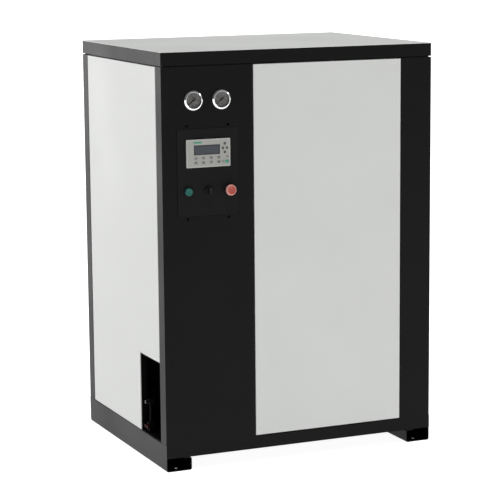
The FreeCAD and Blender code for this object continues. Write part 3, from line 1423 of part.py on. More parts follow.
# ---------------------------------------------------------------- assembly
def build():
    os.makedirs(OUT, exist_ok=True)
    left_skid = skid()
    save("left_skid", left_skid)
    save("right_skid", mirrored(left_skid, X_AXIS))
    save("base_pan", base_pan())
    save("control_column", control_column())
    save("front_sill", front_sill())
    post = right_post()
    save("front_right_post", post)
    save("rear_pipe_column", rear_pipe_column())
    save("rear_right_post", mirrored(post, Y_AXIS))
    save("top_frame", top_frame())
    save("top_cover", top_cover())
    save("casing_fasteners", casing_fasteners())
    save("front_panel", front_panel())
    save("left_panel", left_panel())
    save("right_panel", right_panel())
    save("rear_panel", rear_panel())
    save("panel_catches", panel_catches())
    save("connection_niche", connection_niche())
    save("electrical_box", electrical_box())
    save("control_plate", control_plate())
    save("operator_panel_housing", operator_panel_housing())
    save("operator_panel_keypad", operator_panel_keypad())
    save("operator_panel_screen", operator_panel_screen())
    save("switch_collars", switch_collars())
    save("contact_blocks", contact_blocks())
    save("start_button", start_button())
    save("selector_knob", selector_knob())
    save("stop_plunger", stop_plunger())
    save("stop_button_head", stop_button_head())
    save("gauge_cases", for_both_gauges(gauge_case))
    save("gauge_bezels", for_both_gauges(gauge_bezel))
    save("gauge_dials", for_both_gauges(gauge_dial))
    save("gauge_lenses", for_both_gauges(gauge_lens))
    save("air_pressure_needle", needle(-1))
    save("refrigerant_pressure_needle", needle(1))
    save("compressor_shell", compressor_shell())
    save("compressor_mounts", compressor_mounts())
    save("compressor_terminal_box", compressor_terminal_box())
    save("condenser_coil", condenser_coil())
    save("fan_shroud", fan_shroud())
    save("fan_rotor", fan_rotor())
    save("fan_motor", fan_motor())
    save("fan_guard", fan_guard())
    save("heat_exchanger", heat_exchanger())
    save("exchanger_stand", exchanger_stand())
    save("moisture_separator", moisture_separator())
    save("filter_drier", filter_drier())
    save("expansion_valve", expansion_valve())
    save("hot_gas_bypass", hot_gas_bypass())
    save("discharge_pipe", discharge_pipe())
    save("liquid_pipes", liquid_pipes())
    save("suction_pipe", suction_pipe())
    save("air_inlet_pipe", air_pipe(INLET_Z))
    save("air_outlet_pipe", air_pipe(OUTLET_Z))
    save("auto_drain_valve", auto_drain_valve())
    save("drain_pipes", drain_pipes())
    save("drain_valve", drain_valve())
    save("drain_valve_handle", drain_valve_handle())
    save("drain_outlet", drain_outlet())
    save("cable_gland", cable_gland())
    save("wiring", wiring())


build()
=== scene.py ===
import json
import math

import bmesh
import bpy
from mathutils import Matrix, Vector


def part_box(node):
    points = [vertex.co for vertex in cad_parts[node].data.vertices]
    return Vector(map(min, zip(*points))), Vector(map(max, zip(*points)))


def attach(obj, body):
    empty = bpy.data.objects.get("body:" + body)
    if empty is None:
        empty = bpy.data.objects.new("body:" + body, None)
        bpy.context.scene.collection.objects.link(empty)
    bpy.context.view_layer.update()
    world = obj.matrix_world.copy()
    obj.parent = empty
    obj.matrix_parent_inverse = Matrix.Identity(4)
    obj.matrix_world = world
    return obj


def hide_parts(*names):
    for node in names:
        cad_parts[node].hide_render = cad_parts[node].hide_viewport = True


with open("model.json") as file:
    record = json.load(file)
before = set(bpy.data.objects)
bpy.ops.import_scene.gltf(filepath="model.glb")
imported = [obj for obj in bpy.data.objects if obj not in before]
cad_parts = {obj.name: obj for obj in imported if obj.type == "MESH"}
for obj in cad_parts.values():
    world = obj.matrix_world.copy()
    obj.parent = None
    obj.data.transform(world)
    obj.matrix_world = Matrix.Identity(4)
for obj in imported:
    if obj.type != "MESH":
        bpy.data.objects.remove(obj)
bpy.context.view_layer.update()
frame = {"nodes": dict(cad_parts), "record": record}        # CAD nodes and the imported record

MM = 0.001
FRONT = Vector((0, -1, 0))  # the way the cabinet's front faces
UP = Vector((0, 0, 1))
CABINET = "cabinet"


# ---------------------------------------------------------------- mesh tools
def finish_piece(name, bm, body, finish, replaced=(), sharp_deg=35):
    """Turns a bmesh into a piece that rides on a body and may stand for CAD nodes."""
    bmesh.ops.recalc_face_normals(bm, faces=bm.faces)
    mesh = bpy.data.meshes.new(name)
    bm.to_mesh(mesh)
    bm.free()
    mesh.materials.append(finish.material)
    mesh.polygons.foreach_set("use_smooth", [True] * len(mesh.polygons))
    mesh.set_sharp_from_angle(angle=math.radians(sharp_deg))
    piece = bpy.data.objects.new(name, mesh)
    bpy.context.scene.collection.objects.link(piece)
    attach(piece, body)
    if replaced:
        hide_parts(*replaced)


def bridge(bm, lower, upper):
    """Faces between two closed rings of points. A ring may be a single point."""
    count = max(len(lower), len(upper))
    for k in range(count):
        n = (k + 1) % count
        corners = [lower[k % len(lower)], lower[n % len(lower)]]
        corners += [upper[n % len(upper)], upper[k % len(upper)]]
        corners = list(dict.fromkeys(corners))
        if len(corners) > 2:
            bm.faces.new(corners)


def circle(bm, centre, side, up, radius, count):
    """A ring of points in the plane of side and up."""
    angles = [math.tau * k / count for k in range(count)]
    return [bm.verts.new(centre + (side * math.cos(a) + up * math.sin(a)) * radius) for a in angles]


def turn(bm, profile, centre, along, segments=96, closed=False):
    """Turns (radius, distance along the axis) points about an axis through centre."""
    along = Vector(along).normalized()
    side = along.orthogonal().normalized()
    up = along.cross(side)
    rings = []
    for radius, distance in profile:
        base = Vector(centre) + along * distance
        count = segments if radius > 0 else 1
        rings.append(circle(bm, base, side, up, radius, count))
    for lower, upper in zip(rings, rings[1:]):
        bridge(bm, lower, upper)
    if closed:
        bridge(bm, rings[-1], rings[0])


def ring(bm, centre, radius, wire_r):
    """A round wire bent to a circle that faces the front."""
    sides = 12
    angles = [math.tau * k / sides for k in range(sides)]
    profile = [(radius + wire_r * math.cos(a), wire_r * math.sin(a)) for a in angles]
    turn(bm, profile, centre, FRONT, closed=True)


def rounded(points, radius, steps=5, closed=True):
    """A flat outline with its corners turned into arcs, all of one radius or each of its own."""
    count = len(points)
    radii = [radius] * count if isinstance(radius, (int, float)) else radius
    outline = []
    for i, here in enumerate(points):
        here = Vector(here)
        end = not closed and i in (0, count - 1)
        if end or radii[i] == 0:
            outline.append(here)
            continue
        back = Vector(points[i - 1]) - here
        ahead = Vector(points[(i + 1) % count]) - here
        half = back.angle(ahead) / 2
        reach = min(radii[i] / math.tan(half), back.length * 0.49, ahead.length * 0.49)
        r = reach * math.tan(half)
        middle = here + (back.normalized() + ahead.normalized()).normalized() * (r / math.sin(half))
        start = here + back.normalized() * reach - middle
        stop = here + ahead.normalized() * reach - middle
        for k in range(steps + 1):
            outline.append(middle + start.slerp(stop, k / steps).normalized() * r)
    return outline


def rectangle(width, height, x=0.0, z=0.0):
    w = width / 2
    h = height / 2
    return [(x - w, z - h), (x + w, z - h), (x + w, z + h), (x - w, z + h)]


def inset(outline, distance):
    """A closed outline moved inwards, corner by corner."""
    moved = []
    for i, here in enumerate(outline):
        back = (here - outline[i - 1]).normalized()
        ahead = (outline[(i + 1) % len(outline)] - here).normalized()
        n1 = Vector((-back.y, back.x))
        n2 = Vector((-ahead.y, ahead.x))
        moved.append(here + (n1 + n2) * (distance / (1 + n1.dot(n2))))
    return moved


def cap(bm, outline, y_back, y_front, edge=0.0, steps=3):
    """A closed solid on an (x, z) outline, from y_back to y_front, its front edge rounded."""
    levels = [(0.0, y_back), (0.0, y_front + edge)]
    for k in range(1, steps + 1 if edge > 0 else 1):
        a = math.pi / 2 * k / steps
        levels.append((edge * (1 - math.cos(a)), y_front + edge * (1 - math.sin(a))))
    rings = []
    for distance, y in levels:
        line = inset(outline, distance) if distance > 0 else outline
        rings.append([bm.verts.new((p.x, y, p.y)) for p in line])
    for lower, upper in zip(rings, rings[1:]):
        bridge(bm, lower, upper)
    bm.faces.new(rings[0])
    bm.faces.new(rings[-1])


def block(bm, low, high):
    """A box between two corners."""
    corners = [(low[0], low[2]), (high[0], low[2]), (high[0], high[2]), (low[0], high[2])]
    cap(bm, [Vector(p) for p in corners], high[1], low[1])


def bar(bm, start, stop, radius, sides=12):
    """A straight round bar between two points."""
    along = (stop - start).normalized()
    side = along.cross(UP if abs(along.z) < 0.9 else FRONT).normalized()
    up = side.cross(along)
    ends = [circle(bm, point, side, up, radius, sides) for point in (start, stop)]
    bridge(bm, *ends)
    for end in ends:
        bm.faces.new(end)


def add_number(bm, text, size, x, y, z, depth):
    """A printed number that faces the front, centred at (x, z), with its back at y."""
    curve = bpy.data.curves.new("number", "FONT")
    curve.body = text
    curve.size = size
    curve.align_x = "CENTER"
    curve.align_y = "CENTER"
    curve.extrude = depth / 2
    curve.offset = size * 0.03
    curve.resolution_u = 3
    holder = bpy.data.objects.new("number", curve)
    bpy.context.scene.collection.objects.link(holder)
    bpy.context.view_layer.update()
    graph = bpy.context.evaluated_depsgraph_get()
    mesh = bpy.data.meshes.new_from_object(holder.evaluated_get(graph))
    upright = Matrix.Rotation(math.pi / 2, 4, "X")
    mesh.transform(Matrix.Translation((x, y - depth / 2, z)) @ upright)
    bm.from_mesh(mesh)
    bpy.data.objects.remove(holder)
    bpy.data.curves.remove(curve)
    bpy.data.meshes.remove(mesh)


# ---------------------------------------------------------------- material tools
class Finish:
    """A procedural material around one Principled shader. Its textures are laid out in metres."""

    def __init__(self, name, colour, roughness, metallic=0.0, **inputs):
        self.material = bpy.data.materials.new(name)
        self.material.use_nodes = True
        self.tree = self.material.node_tree
        self.shader = self.tree.nodes["Principled BSDF"]
        self.place = self.tree.nodes.new("ShaderNodeTexCoord").outputs["Object"]
        self.colour = colour
        self.set("Base Color", (*colour, 1))
        self.set("Roughness", roughness)
        self.set("Metallic", metallic)
        for label, value in inputs.items():
            self.set(label.replace("_", " "), value)

    def put(self, target, value):
        """A socket gets a link or a plain value."""
        if isinstance(value, bpy.types.NodeSocket):
            self.tree.links.new(value, target)
        else:
            target.default_value = value

    def set(self, label, value):
        self.put(self.shader.inputs[label], value)

    def node(self, kind, inputs, **settings):
        """A new node. Its inputs are given by name or, where two share a name, by number."""
        made = self.tree.nodes.new(kind)
        for label, value in settings.items():
            setattr(made, label, value)
        for label, value in inputs.items():
            self.put(made.inputs[label], value)
        return made

    def stretched(self, stretch):
        """The coordinates, drawn out so that a texture runs in streaks."""
        if stretch is None:
            return self.place
        return self.node("ShaderNodeMapping", {"Vector": self.place, "Scale": stretch}).outputs["Vector"]

    def noise(self, scale, detail=2.0, rough=0.5, stretch=None):
        inputs = {"Vector": self.stretched(stretch), "Scale": scale}
        inputs.update({"Detail": detail, "Roughness": rough})
        return self.node("ShaderNodeTexNoise", inputs).outputs["Fac"]

    def cells(self, scale, output="Color"):
        inputs = {"Vector": self.place, "Scale": scale}
        return self.node("ShaderNodeTexVoronoi", inputs).outputs[output]

    def axis(self, letter):
        """One of the piece's own coordinates, in metres."""
        return self.node("ShaderNodeSeparateXYZ", {"Vector": self.place}).outputs[letter]

    def distance(self, first, second):
        """How far a point is from an axis. Each argument is a letter and the axis's place on it."""
        squares = []
        for letter, place in (first, second):
            squares.append(self.math("POWER", self.math("SUBTRACT", self.axis(letter), place), 2.0))
        return self.math("SQRT", self.math("ADD", *squares))

    def remap(self, value, source, target):
        inputs = {
            "Value": value,
            "From Min": source[0],
            "From Max": source[1],
            "To Min": target[0],
            "To Max": target[1],
        }
        return self.node("ShaderNodeMapRange", inputs).outputs["Result"]

    def math(self, operation, a, b=0.0):
        return self.node("ShaderNodeMath", {0: a, 1: b}, operation=operation).outputs["Value"]

    def mix(self, factor, a, b):
        """A colour between a and b."""
        a, b = ((*c, 1) if isinstance(c, tuple) else c for c in (a, b))
        return self.node("ShaderNodeMix", {0: factor, 6: a, 7: b}, data_type="RGBA").outputs[2]

    def shade(self, factor, low, high, colour=None):
        """The base colour, times low to high as factor goes from 0 to 1."""
        colour = colour or self.colour
        dark, light = (tuple(min(c * k, 1) for c in colour) for k in (low, high))
        return self.mix(factor, dark, light)

    def bump(self, height, depth, strength=1.0, under=None):
        """Relief of that depth in metres, laid over another bump if one is given."""
        inputs = {"Height": height, "Distance": depth, "Strength": strength}
        if under is not None:
            inputs["Normal"] = under
        normal = self.node("ShaderNodeBump", inputs).outputs["Normal"]
        self.set("Normal", normal)
        return normal


def powder_coat(name, colour, roughness, **inputs):
    """Powder coat: orange peel some millimetres wide, a fine grain on it and faint clouding."""
    peel = 0.0002
    grain = 0.00012
    finish = Finish(name, colour, roughness, **inputs)
    clouds = finish.noise(3.0, detail=3.0)
    speckle = finish.noise(1400.0, detail=1.0)
    broad = finish.remap(clouds, (0.3, 0.7), (0.0, 0.6))
    fine = finish.remap(speckle, (0.3, 0.7), (0.0, 0.4))
    mottle = finish.math("ADD", broad, fine)
    finish.set("Base Color", finish.shade(mottle, 0.97, 1.03))
    finish.set("Roughness", finish.remap(clouds, (0.3, 0.7), (roughness - 0.04, roughness + 0.04)))
    under = finish.bump(finish.noise(260.0, detail=1.0), peel, 0.5)
    finish.bump(speckle, grain, 0.4, under)
    return finish


def moulded(name, colour, roughness, grain=0.00008, **inputs):
    """Moulded plastic or rubber with a fine spark-eroded grain."""
    finish = Finish(name, colour, roughness, **inputs)
    finish.set("Base Color", finish.shade(finish.noise(40.0, detail=3.0), 0.93, 1.07))
    sheen = finish.noise(90.0)
    finish.set("Roughness", finish.remap(sheen, (0.3, 0.7), (roughness - 0.05, roughness + 0.06)))
    finish.bump(finish.cells(1600.0, "Distance"), grain, 0.5)
    return finish


def metal(name, colour, roughness, streaks=(1, 1, 1), scratch=0.00004, **inputs):
    """Bare metal with fine scratches drawn out by streaks and small stains."""
    finish = Finish(name, colour, roughness, metallic=1.0, **inputs)
    lines = finish.noise(900.0, detail=4.0, rough=0.65, stretch=streaks)
    stains = finish.noise(24.0, detail=4.0)
    finish.set("Base Color", finish.shade(stains, 0.86, 1.08))
    finish.set("Roughness", finish.remap(lines, (0.25, 0.75), (roughness * 0.7, roughness * 1.35)))
    finish.bump(lines, scratch, 0.5)
    return finish


# ---------------------------------------------------------------- materials
BLACK = (0.0024, 0.0024, 0.0026)
PANEL_GREY = (0.572, 0.582, 0.568)
STEEL = (0.56, 0.57, 0.58)
STOP_RED = (0.37, 0.062, 0.044)
START_GREEN = (0.007, 0.098, 0.078)
# pale pink for the stop head's rim: a painted reflection
STOP_RIM_REFLECTION = (0.56, 0.27, 0.24)


def skid_coat():
    """The frame's black coat, scuffed to bare steel where the skids meet the floor."""
    finish = powder_coat("skid_black", BLACK, 0.45, Specular_IOR_Level=0.14)
    low = finish.remap(finish.axis("Z"), (0.2 * MM, 1.6 * MM), (1.0, 0.0))
    patches = finish.remap(finish.noise(70.0, detail=6.0, rough=0.7), (0.54, 0.62), (0.0, 1.0))
    worn = finish.math("MULTIPLY", low, patches)
    finish.set("Base Color", finish.mix(worn, BLACK, STEEL))
    finish.set("Metallic", worn)
    return finish


def galvanised():
    """Hot-dip zinc with crystal spangles about a centimetre across."""
    finish = Finish("galvanised_sheet", (0.50, 0.52, 0.53), 0.42, metallic=1.0)
    blur = finish.remap(finish.noise(300.0), (0.3, 0.7), (-0.15, 0.15))
    spangle = finish.math("ADD", finish.cells(85.0), blur)
    finish.set("Base Color", finish.shade(spangle, 0.78, 1.14))
    finish.set("Roughness", finish.remap(spangle, (0.1, 0.9), (0.30, 0.52)))
    finish.bump(spangle, 0.00004, 0.4)
    return finish


def lens_glass():
    """Clear glass: seen through, with a faintly smudged reflection on top."""
    finish = Finish("lens_glass", (1.0, 1.0, 1.0), 0.03)
    smudge = finish.remap(finish.noise(70.0, detail=4.0), (0.45, 0.75), (0.01, 0.07))
    clear = finish.node("ShaderNodeBsdfTransparent", {"Color": (0.95, 0.94, 0.94, 1)})
    gloss = finish.node("ShaderNodeBsdfGlossy", {"Roughness": smudge})
    edge_on = finish.node("ShaderNodeFresnel", {"IOR": 1.16})
    parts = (edge_on.outputs[0], clear.outputs[0], gloss.outputs[0])
    both = finish.node("ShaderNodeMixShader", dict(enumerate(parts)))
    finish.put(finish.tree.nodes["Material Output"].inputs["Surface"], both.outputs[0])
    return finish


def display(low, high):
    """Unlit character display: a dark window, its rim darker, with four rows of faint cells."""
    glossy = {"Specular_IOR_Level": 0.3, "Coat_Weight": 0.1, "Coat_Roughness": 0.06}
    finish = Finish("display", (0.026, 0.031, 0.040), 0.3, **glossy)
    x = finish.axis("X")
    z = finish.axis("Z")
    margin = 6.5 * MM
    sides = []
    cells = []
    for place, start, end, count, share in ((x, low.x, high.x, 20, 0.8), (z, low.z, high.z, 4, 0.84)):
        sides += [finish.math("SUBTRACT", place, start), finish.math("SUBTRACT", end, place)]
        pitch = (end - start - 2 * margin) / count
        from_first = finish.math("SUBTRACT", place, start + margin)
        within = finish.math("FRACT", finish.math("DIVIDE", from_first, pitch))
        cells.append(finish.math("LESS_THAN", within, share))
    across = finish.math("MINIMUM", sides[0], sides[1])
    upward = finish.math("MINIMUM", sides[2], sides[3])
    from_edge = finish.math("MINIMUM", across, upward)
    inside = finish.remap(from_edge, (3.0 * MM, 5.5 * MM), (0.0, 1.0))
    in_room = finish.math("GREATER_THAN", from_edge, margin)
    cell = finish.math("MULTIPLY", finish.math("MULTIPLY", cells[0], cells[1]), in_room)
    uneven = finish.remap(finish.noise(30.0), (0.3, 0.7), (0.3, 0.5))
    paleness = finish.math("ADD", finish.remap(cell, (0, 1), (0.0, 0.22)), uneven)
    face = finish.mix(paleness, finish.colour, (0.042, 0.050, 0.064))
    finish.set("Base Color", finish.mix(inside, (0.015, 0.017, 0.020), face))
    return finish


def copper_tube():
    """Drawn copper, part bright and part browned by handling and heat."""
    finish = metal("copper_tube", (0.80, 0.36, 0.22), 0.28, streaks=(1, 1, 0.2))
    tarnish = finish.remap(finish.noise(14.0, detail=5.0, rough=0.6), (0.42, 0.66), (0.0, 1.0))
    bright = finish.shade(finish.noise(60.0), 0.9, 1.1)
    finish.set("Base Color", finish.mix(tarnish, bright, (0.28, 0.12, 0.075)))
    finish.set("Roughness", finish.remap(tarnish, (0, 1), (0.22, 0.5)))
    return finish


def foam():
    """Closed-cell insulation with a pitted skin."""
    finish = Finish("foam_jacket", (0.020, 0.020, 0.021), 0.9, Specular_IOR_Level=0.3)
    pits = finish.cells(420.0, "Distance")
    waves = finish.noise(18.0, detail=3.0)
    finish.set("Base Color", finish.shade(finish.noise(9.0, detail=4.0), 0.7, 1.5))
    under = finish.bump(waves, 0.002, 0.5)
    finish.bump(pits, 0.0006, 0.6, under)
    return finish


def primed_pipe(face_y):
    """Grey primer with bare, lathe-grooved steel on the flange faces."""
    finish = Finish("pipe_steel", (0.24, 0.25, 0.26), 0.5)
    bare = finish.math("GREATER_THAN", finish.axis("Y"), face_y - 0.2 * MM)
    grain = finish.noise(160.0, detail=3.0)
    primer = finish.shade(grain, 0.85, 1.15)
    finish.set("Base Color", finish.mix(bare, primer, finish.shade(grain, 0.9, 1.1, STEEL)))
    finish.set("Metallic", bare)
    finish.set("Roughness", finish.remap(grain, (0.3, 0.7), (0.34, 0.55)))
    finish.bump(grain, 0.0003, 0.5)
    return finish


def enamel(name, colour, roughness, **inputs):
    """Wet-sprayed enamel: gloss with a long, soft ripple."""
    finish = Finish(name, colour, roughness, **inputs)
    finish.set("Base Color", finish.shade(finish.noise(12.0, detail=4.0), 0.88, 1.14))
    sheen = finish.noise(45.0, detail=3.0)
    finish.set("Roughness", finish.remap(sheen, (0.3, 0.7), (roughness - 0.06, roughness + 0.1)))
    finish.bump(finish.noise(190.0), 0.00025, 0.6)
    return finish


def spigot_enamel():
    """Near-black fitting, darkened as painted shade, with a pale ring painted round the bore at its cut
    end, where the hose goes on: a painted highlight.
    """
    # near-black colour: painted shade for the fitting deep in the niche
    finish = enamel("spigot_painted_shade", (0.0050, 0.0042, 0.0034), 0.5, Specular_IOR_Level=0.05)
    mounts = {m["name"]: m for m in frame["record"]["mounts"]}
    _, y, z = mounts["condensate_outlet"]["pos_m"]
    near_axis = finish.math("LESS_THAN", finish.distance(("Y", y), ("Z", z)), 5.2 * MM)
    end_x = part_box("drain_outlet")[0].x
    near_end = finish.math("LESS_THAN", finish.axis("X"), end_x + 0.8 * MM)
    # painted highlight: a pale ring round the bore at the cut end
    painted_highlight_ring = finish.math("MULTIPLY", near_end, near_axis)
    paint = finish.shade(finish.noise(12.0), 0.88, 1.14)
    finish.set("Base Color", finish.mix(painted_highlight_ring, paint, (0.42, 0.42, 0.40)))
    return finish


def stop_button_plastic():
    """Red plastic, with a pale pink reflection painted on towards the rim of the mushroom head."""
    finish = moulded("stop_red", STOP_RED, 0.3, grain=0.00002, Specular_IOR_Level=0.3)
    low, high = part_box("stop_button_head")
    middle = (low + high) / 2
    from_axis = finish.distance(("X", middle.x), ("Z", middle.z))
    # painted reflection: the head turns pale pink towards its rim
    painted_rim_reflection = finish.remap(from_axis, (13.5 * MM, 18.0 * MM), (0.0, 1.0))
    red = finish.shade(finish.noise(40.0), 0.93, 1.07)
    finish.set("Base Color", finish.mix(painted_rim_reflection, red, STOP_RIM_REFLECTION))
    return finish


def give(finish, *nodes):
    """Puts a material on CAD nodes."""
    for name in nodes:
        frame["nodes"][name].material_slots[0].material = finish.material


black_coat = powder_coat("frame_black", BLACK, 0.42, Specular_IOR_Level=0.1)
grey_coat = powder_coat("panel_grey", PANEL_GREY, 0.45)
black_moulded = moulded("black_plastic", (0.0075, 0.0075, 0.0080), 0.45, Specular_IOR_Level=0.12)
nylon = moulded("nylon", (0.80, 0.79, 0.74), 0.45, Subsurface_Weight=0.1, Subsurface_Scale=0.002)
dark_rubber = moulded("mount_rubber", (0.014, 0.014, 0.014), 0.75, grain=0.0002)
black_enamel = enamel("compressor_black", (0.012, 0.012, 0.013), 0.28)
chrome = metal("gauge_chrome", (0.80, 0.81, 0.82), 0.07, scratch=0.000005)
blackened = enamel("screw_black", (0.0022, 0.0022, 0.0024), 0.55, Specular_IOR_Level=0.0)
zinc = galvanised()
brass = metal("brass", (0.66, 0.47, 0.20), 0.3)
copper = copper_tube()
needle_paint = moulded("needle_black", (0.003, 0.003, 0.003), 0.6, Specular_IOR_Level=0.1)
dial_paint = moulded("dial_face", (0.178, 0.178, 0.170), 0.6, grain=0.00003, Specular_IOR_Level=0.1)
housing_plastic = moulded("terminal_housing", (0.41, 0.41, 0.395), 0.5, Specular_IOR_Level=0.3)
membrane = moulded(
    "terminal_keypad", (0.325, 0.325, 0.305), 0.42, grain=0.00005, Specular_IOR_Level=0.25
)
stop_plastic = stop_button_plastic()
start_plastic = moulded("start_green", START_GREEN, 0.3, grain=0.00002, Specular_IOR_Level=0.25)

give(black_coat, "control_column", "rear_pipe_column", "front_right_post", "rear_right_post")
give(black_coat, "front_sill", "top_frame", "connection_niche", "base_pan", "electrical_box")
give(powder_coat("plate_black", (0.0145, 0.0145, 0.0150), 0.5, Specular_IOR_Level=0.0), "control_plate")
give(skid_coat(), "left_skid", "right_skid")
give(grey_coat, "front_panel", "left_panel", "right_panel", "rear_panel", "top_cover")
give(zinc, "fan_shroud", "exchanger_stand")
give(blackened, "casing_fasteners")
give(nylon, "panel_catches")
give(housing_plastic, "operator_panel_housing")
give(membrane, "operator_panel_keypad")
give(display(*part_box("operator_panel_screen")), "operator_panel_screen")
give(black_moulded, "switch_collars", "contact_blocks", "selector_knob", "compressor_terminal_box")
give(black_moulded, "auto_drain_valve", "fan_rotor")
give(moulded("stop_plunger_plastic", (0.030, 0.030, 0.031), 0.5), "stop_plunger")
give(chrome, "gauge_cases", "gauge_bezels")
give(dial_paint, "gauge_dials")
give(lens_glass(), "gauge_lenses")
give(needle_paint, "air_pressure_needle", "refrigerant_pressure_needle")
give(black_enamel, "compressor_shell", "fan_motor")
give(dark_rubber, "compressor_mounts")
give(metal("coil_aluminium", (0.74, 0.75, 0.76), 0.35, streaks=(1, 1, 0.1)), "condenser_coil")
guard_paint = enamel("guard_steel", (0.014, 0.014, 0.015), 0.35)
give(guard_paint, "fan_guard")
give(foam(), "heat_exchanger")
give(enamel("vessel_paint", (0.085, 0.095, 0.105), 0.32), "moisture_separator", "filter_drier")
give(copper, "discharge_pipe", "liquid_pipes", "suction_pipe", "hot_gas_bypass")
give(brass, "expansion_valve")
give(spigot_enamel(), "drain_outlet")
# the drain valve's near-black colour is painted shade for the niche it sits in
give(enamel("valve_painted_shade", (0.0040, 0.0034, 0.0028), 0.5, Specular_IOR_Level=0.04), "drain_valve")
give(primed_pipe(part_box("air_inlet_pipe")[1].y), "air_inlet_pipe", "air_outlet_pipe")
give(moulded("drain_tube", (0.0034, 0.0035, 0.0038), 0.45, Specular_IOR_Level=0.03), "drain_pipes")
# the red handle's very dark colour is painted shade: the niche's shadow darkens it
give(enamel("handle_red", (0.022, 0.0012, 0.0012), 0.5, Specular_IOR_Level=0.03), "drain_valve_handle")
give(moulded("gland_plastic", (0.28, 0.28, 0.28), 0.45), "cable_gland")
give(moulded("cable_sheath", (0.012, 0.012, 0.013), 0.5), "wiring")


# ---------------------------------------------------------------- gauges
bezel_low, bezel_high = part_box("gauge_bezels")
GAUGE_R = (bezel_high.z - bezel_low.z) / 2
GAUGE_BACK = bezel_high.y  # the column's face
GAUGE_Z = (bezel_low.z + bezel_high.z) / 2
GAUGES = {  # name of the gauge: where its centre is, and the numbers on its dial
    "air_pressure": (bezel_low.x + GAUGE_R, (0, 4, 8, 12, 16)),
    "refrigerant_pressure": (bezel_high.x - GAUGE_R, (0, 5, 10, 15, 20, 25)),
}
ZERO_DEG = 225.0  # where the scale starts, anticlockwise from the right
SCALE_DEG = 270.0


def gauge_bezels():
    """Chrome rings: a cone that slopes back to a rolled shoulder, and a lip that holds the glass."""
    proud = GAUGE_BACK - bezel_low.y
    lens_front = GAUGE_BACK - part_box("gauge_lenses")[0].y
    lip_r = 29.6 * MM
    bore_r = 30.6 * MM
    rim_r = GAUGE_R - 1.2 * MM  # the roll is drawn in a little behind the cone
    face = [
        (rim_r, 0.0),
        (rim_r, proud - 4.0 * MM),
        (30.4 * MM, proud),
        (lip_r, proud - 0.5 * MM),
        (lip_r, lens_front),
        (bore_r, lens_front),
        (bore_r, 0.0),
    ]
    radii = [0, 3.2 * MM, 0.5 * MM, 0.3 * MM, 0, 0, 0]
    profile = [tuple(p) for p in rounded(face, radii, steps=10, closed=False)]
    bm = bmesh.new()
    for x, _ in GAUGES.values():
        turn(bm, profile, (x, GAUGE_BACK, GAUGE_Z), FRONT, closed=True)
    replaced = ["gauge_bezels"]
    finish_piece("gauge_bezel_rings", bm, CABINET, chrome, replaced, sharp_deg=50)


def gauge_scales():
    """Printed scales: an arc of ticks with numbers inside it, standing a hair above the dials."""
    ink = moulded("dial_ink", (0.36, 0.36, 0.35), 0.6)
    face_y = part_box("gauge_dials")[0].y
    print_t = 0.08 * MM
    outer_r = 27.6 * MM
    divisions = 5  # between two numbers
    number_h = 5.2 * MM
    number_in = 8.4 * MM  # from the ticks' outer ends to the middle of a number
    bm = bmesh.new()
    for x, numbers in GAUGES.values():
        ticks = divisions * (len(numbers) - 1)
        for k in range(ticks + 1):
            major = k % divisions == 0
            length = (4.2 if major else 2.2) * MM
            half_w = (0.42 if major else 0.2) * MM
            angle = math.radians(ZERO_DEG - SCALE_DEG * k / ticks)
            ray = Vector((math.cos(angle), math.sin(angle)))
            across = Vector((-ray.y, ray.x)) * half_w
            centre = Vector((x, GAUGE_Z))
            outline = [centre + ray * (outer_r - length) - across, centre + ray * outer_r - across]
            outline += [centre + ray * outer_r + across, centre + ray * (outer_r - length) + across]
            cap(bm, outline, face_y, face_y - print_t)
            if major:
                at = centre + ray * (outer_r - number_in)
                add_number(bm, str(numbers[k // divisions]), number_h, at.x, face_y, at.y, print_t)
    finish_piece("gauge_dial_print", bm, CABINET, ink)


def needles():
    """Pointers: a fine tip, a broad balanced tail and a domed cap over the spindle."""
    dome = [(0.0, 1.5 * MM), (1.6 * MM, 1.35 * MM), (2.8 * MM, 0.85 * MM), (3.3 * MM, 0.0), (0.0, 0.0)]
    for name, (x, _) in GAUGES.items():
        needle = name + "_needle"
        front_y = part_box(needle)[0].y
        ray = Vector((math.cos(math.radians(ZERO_DEG)), math.sin(math.radians(ZERO_DEG))))
        across = Vector((-ray.y, ray.x))
        half = [(25.0, 0.35), (9.0, 1.0), (6.0, 1.9), (-10.0, 1.9)]  # millimetres along and across
        reach = [(d, w) for d, w in half] + [(d, -w) for d, w in reversed(half)]
        outline = [Vector((x, GAUGE_Z)) + (ray * d + across * w) * MM for d, w in reach]
        bm = bmesh.new()
        cap(bm, outline, front_y + 0.1 * MM, front_y - 0.25 * MM, edge=0.08 * MM, steps=2)
        turn(bm, dome, (x, front_y, GAUGE_Z), FRONT, segments=48)
        finish_piece(name + "_needle_pointer", bm, needle, needle_paint)


# ---------------------------------------------------------------- operator panel
terminal_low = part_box("operator_panel_housing")[0]
KEY_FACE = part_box("operator_panel_keypad")[0].y  # front of the embossed keys
KEY_T = 0.35 * MM
# places of the keys, in millimetres from the operator panel's lower left corner
FUNCTION_KEYS = [(x, z) for z in (33.5, 17.0) for x in (36.0, 66.0, 96.0, 126.0)]
ARROW_KEYS = {90: (150.0, 83.0), 180: (142.5, 67.0), 0: (158.5, 67.0), 270: (150.0, 52.0)}
ESCAPE_KEY = (160.0, 35.0)
SHIFT_KEY = (143.5, 17.5)
ENTER_KEY = (158.5, 17.5)


def on_terminal(place):
    """The (x, z) of a place given in millimetres from the operator panel's lower left corner."""
    return Vector((terminal_low.x + place[0] * MM, terminal_low.z + place[1] * MM))


def key_outline(place, width, height, radius=1.4):
    """A rounded outline around a place on the operator panel, with its sizes in millimetres."""
    return rounded(rectangle(width * MM, height * MM, *on_terminal(place)), radius * MM)


def keys(name, places, width, height, finish):
    """Soft-edged key tops on the embossed places of the membrane."""
    bm = bmesh.new()
    for place in places:
        outline = key_outline(place, width, height)
        cap(bm, outline, KEY_FACE + 0.05 * MM, KEY_FACE - KEY_T, edge=0.3 * MM)
    finish_piece(name, bm, CABINET, finish)


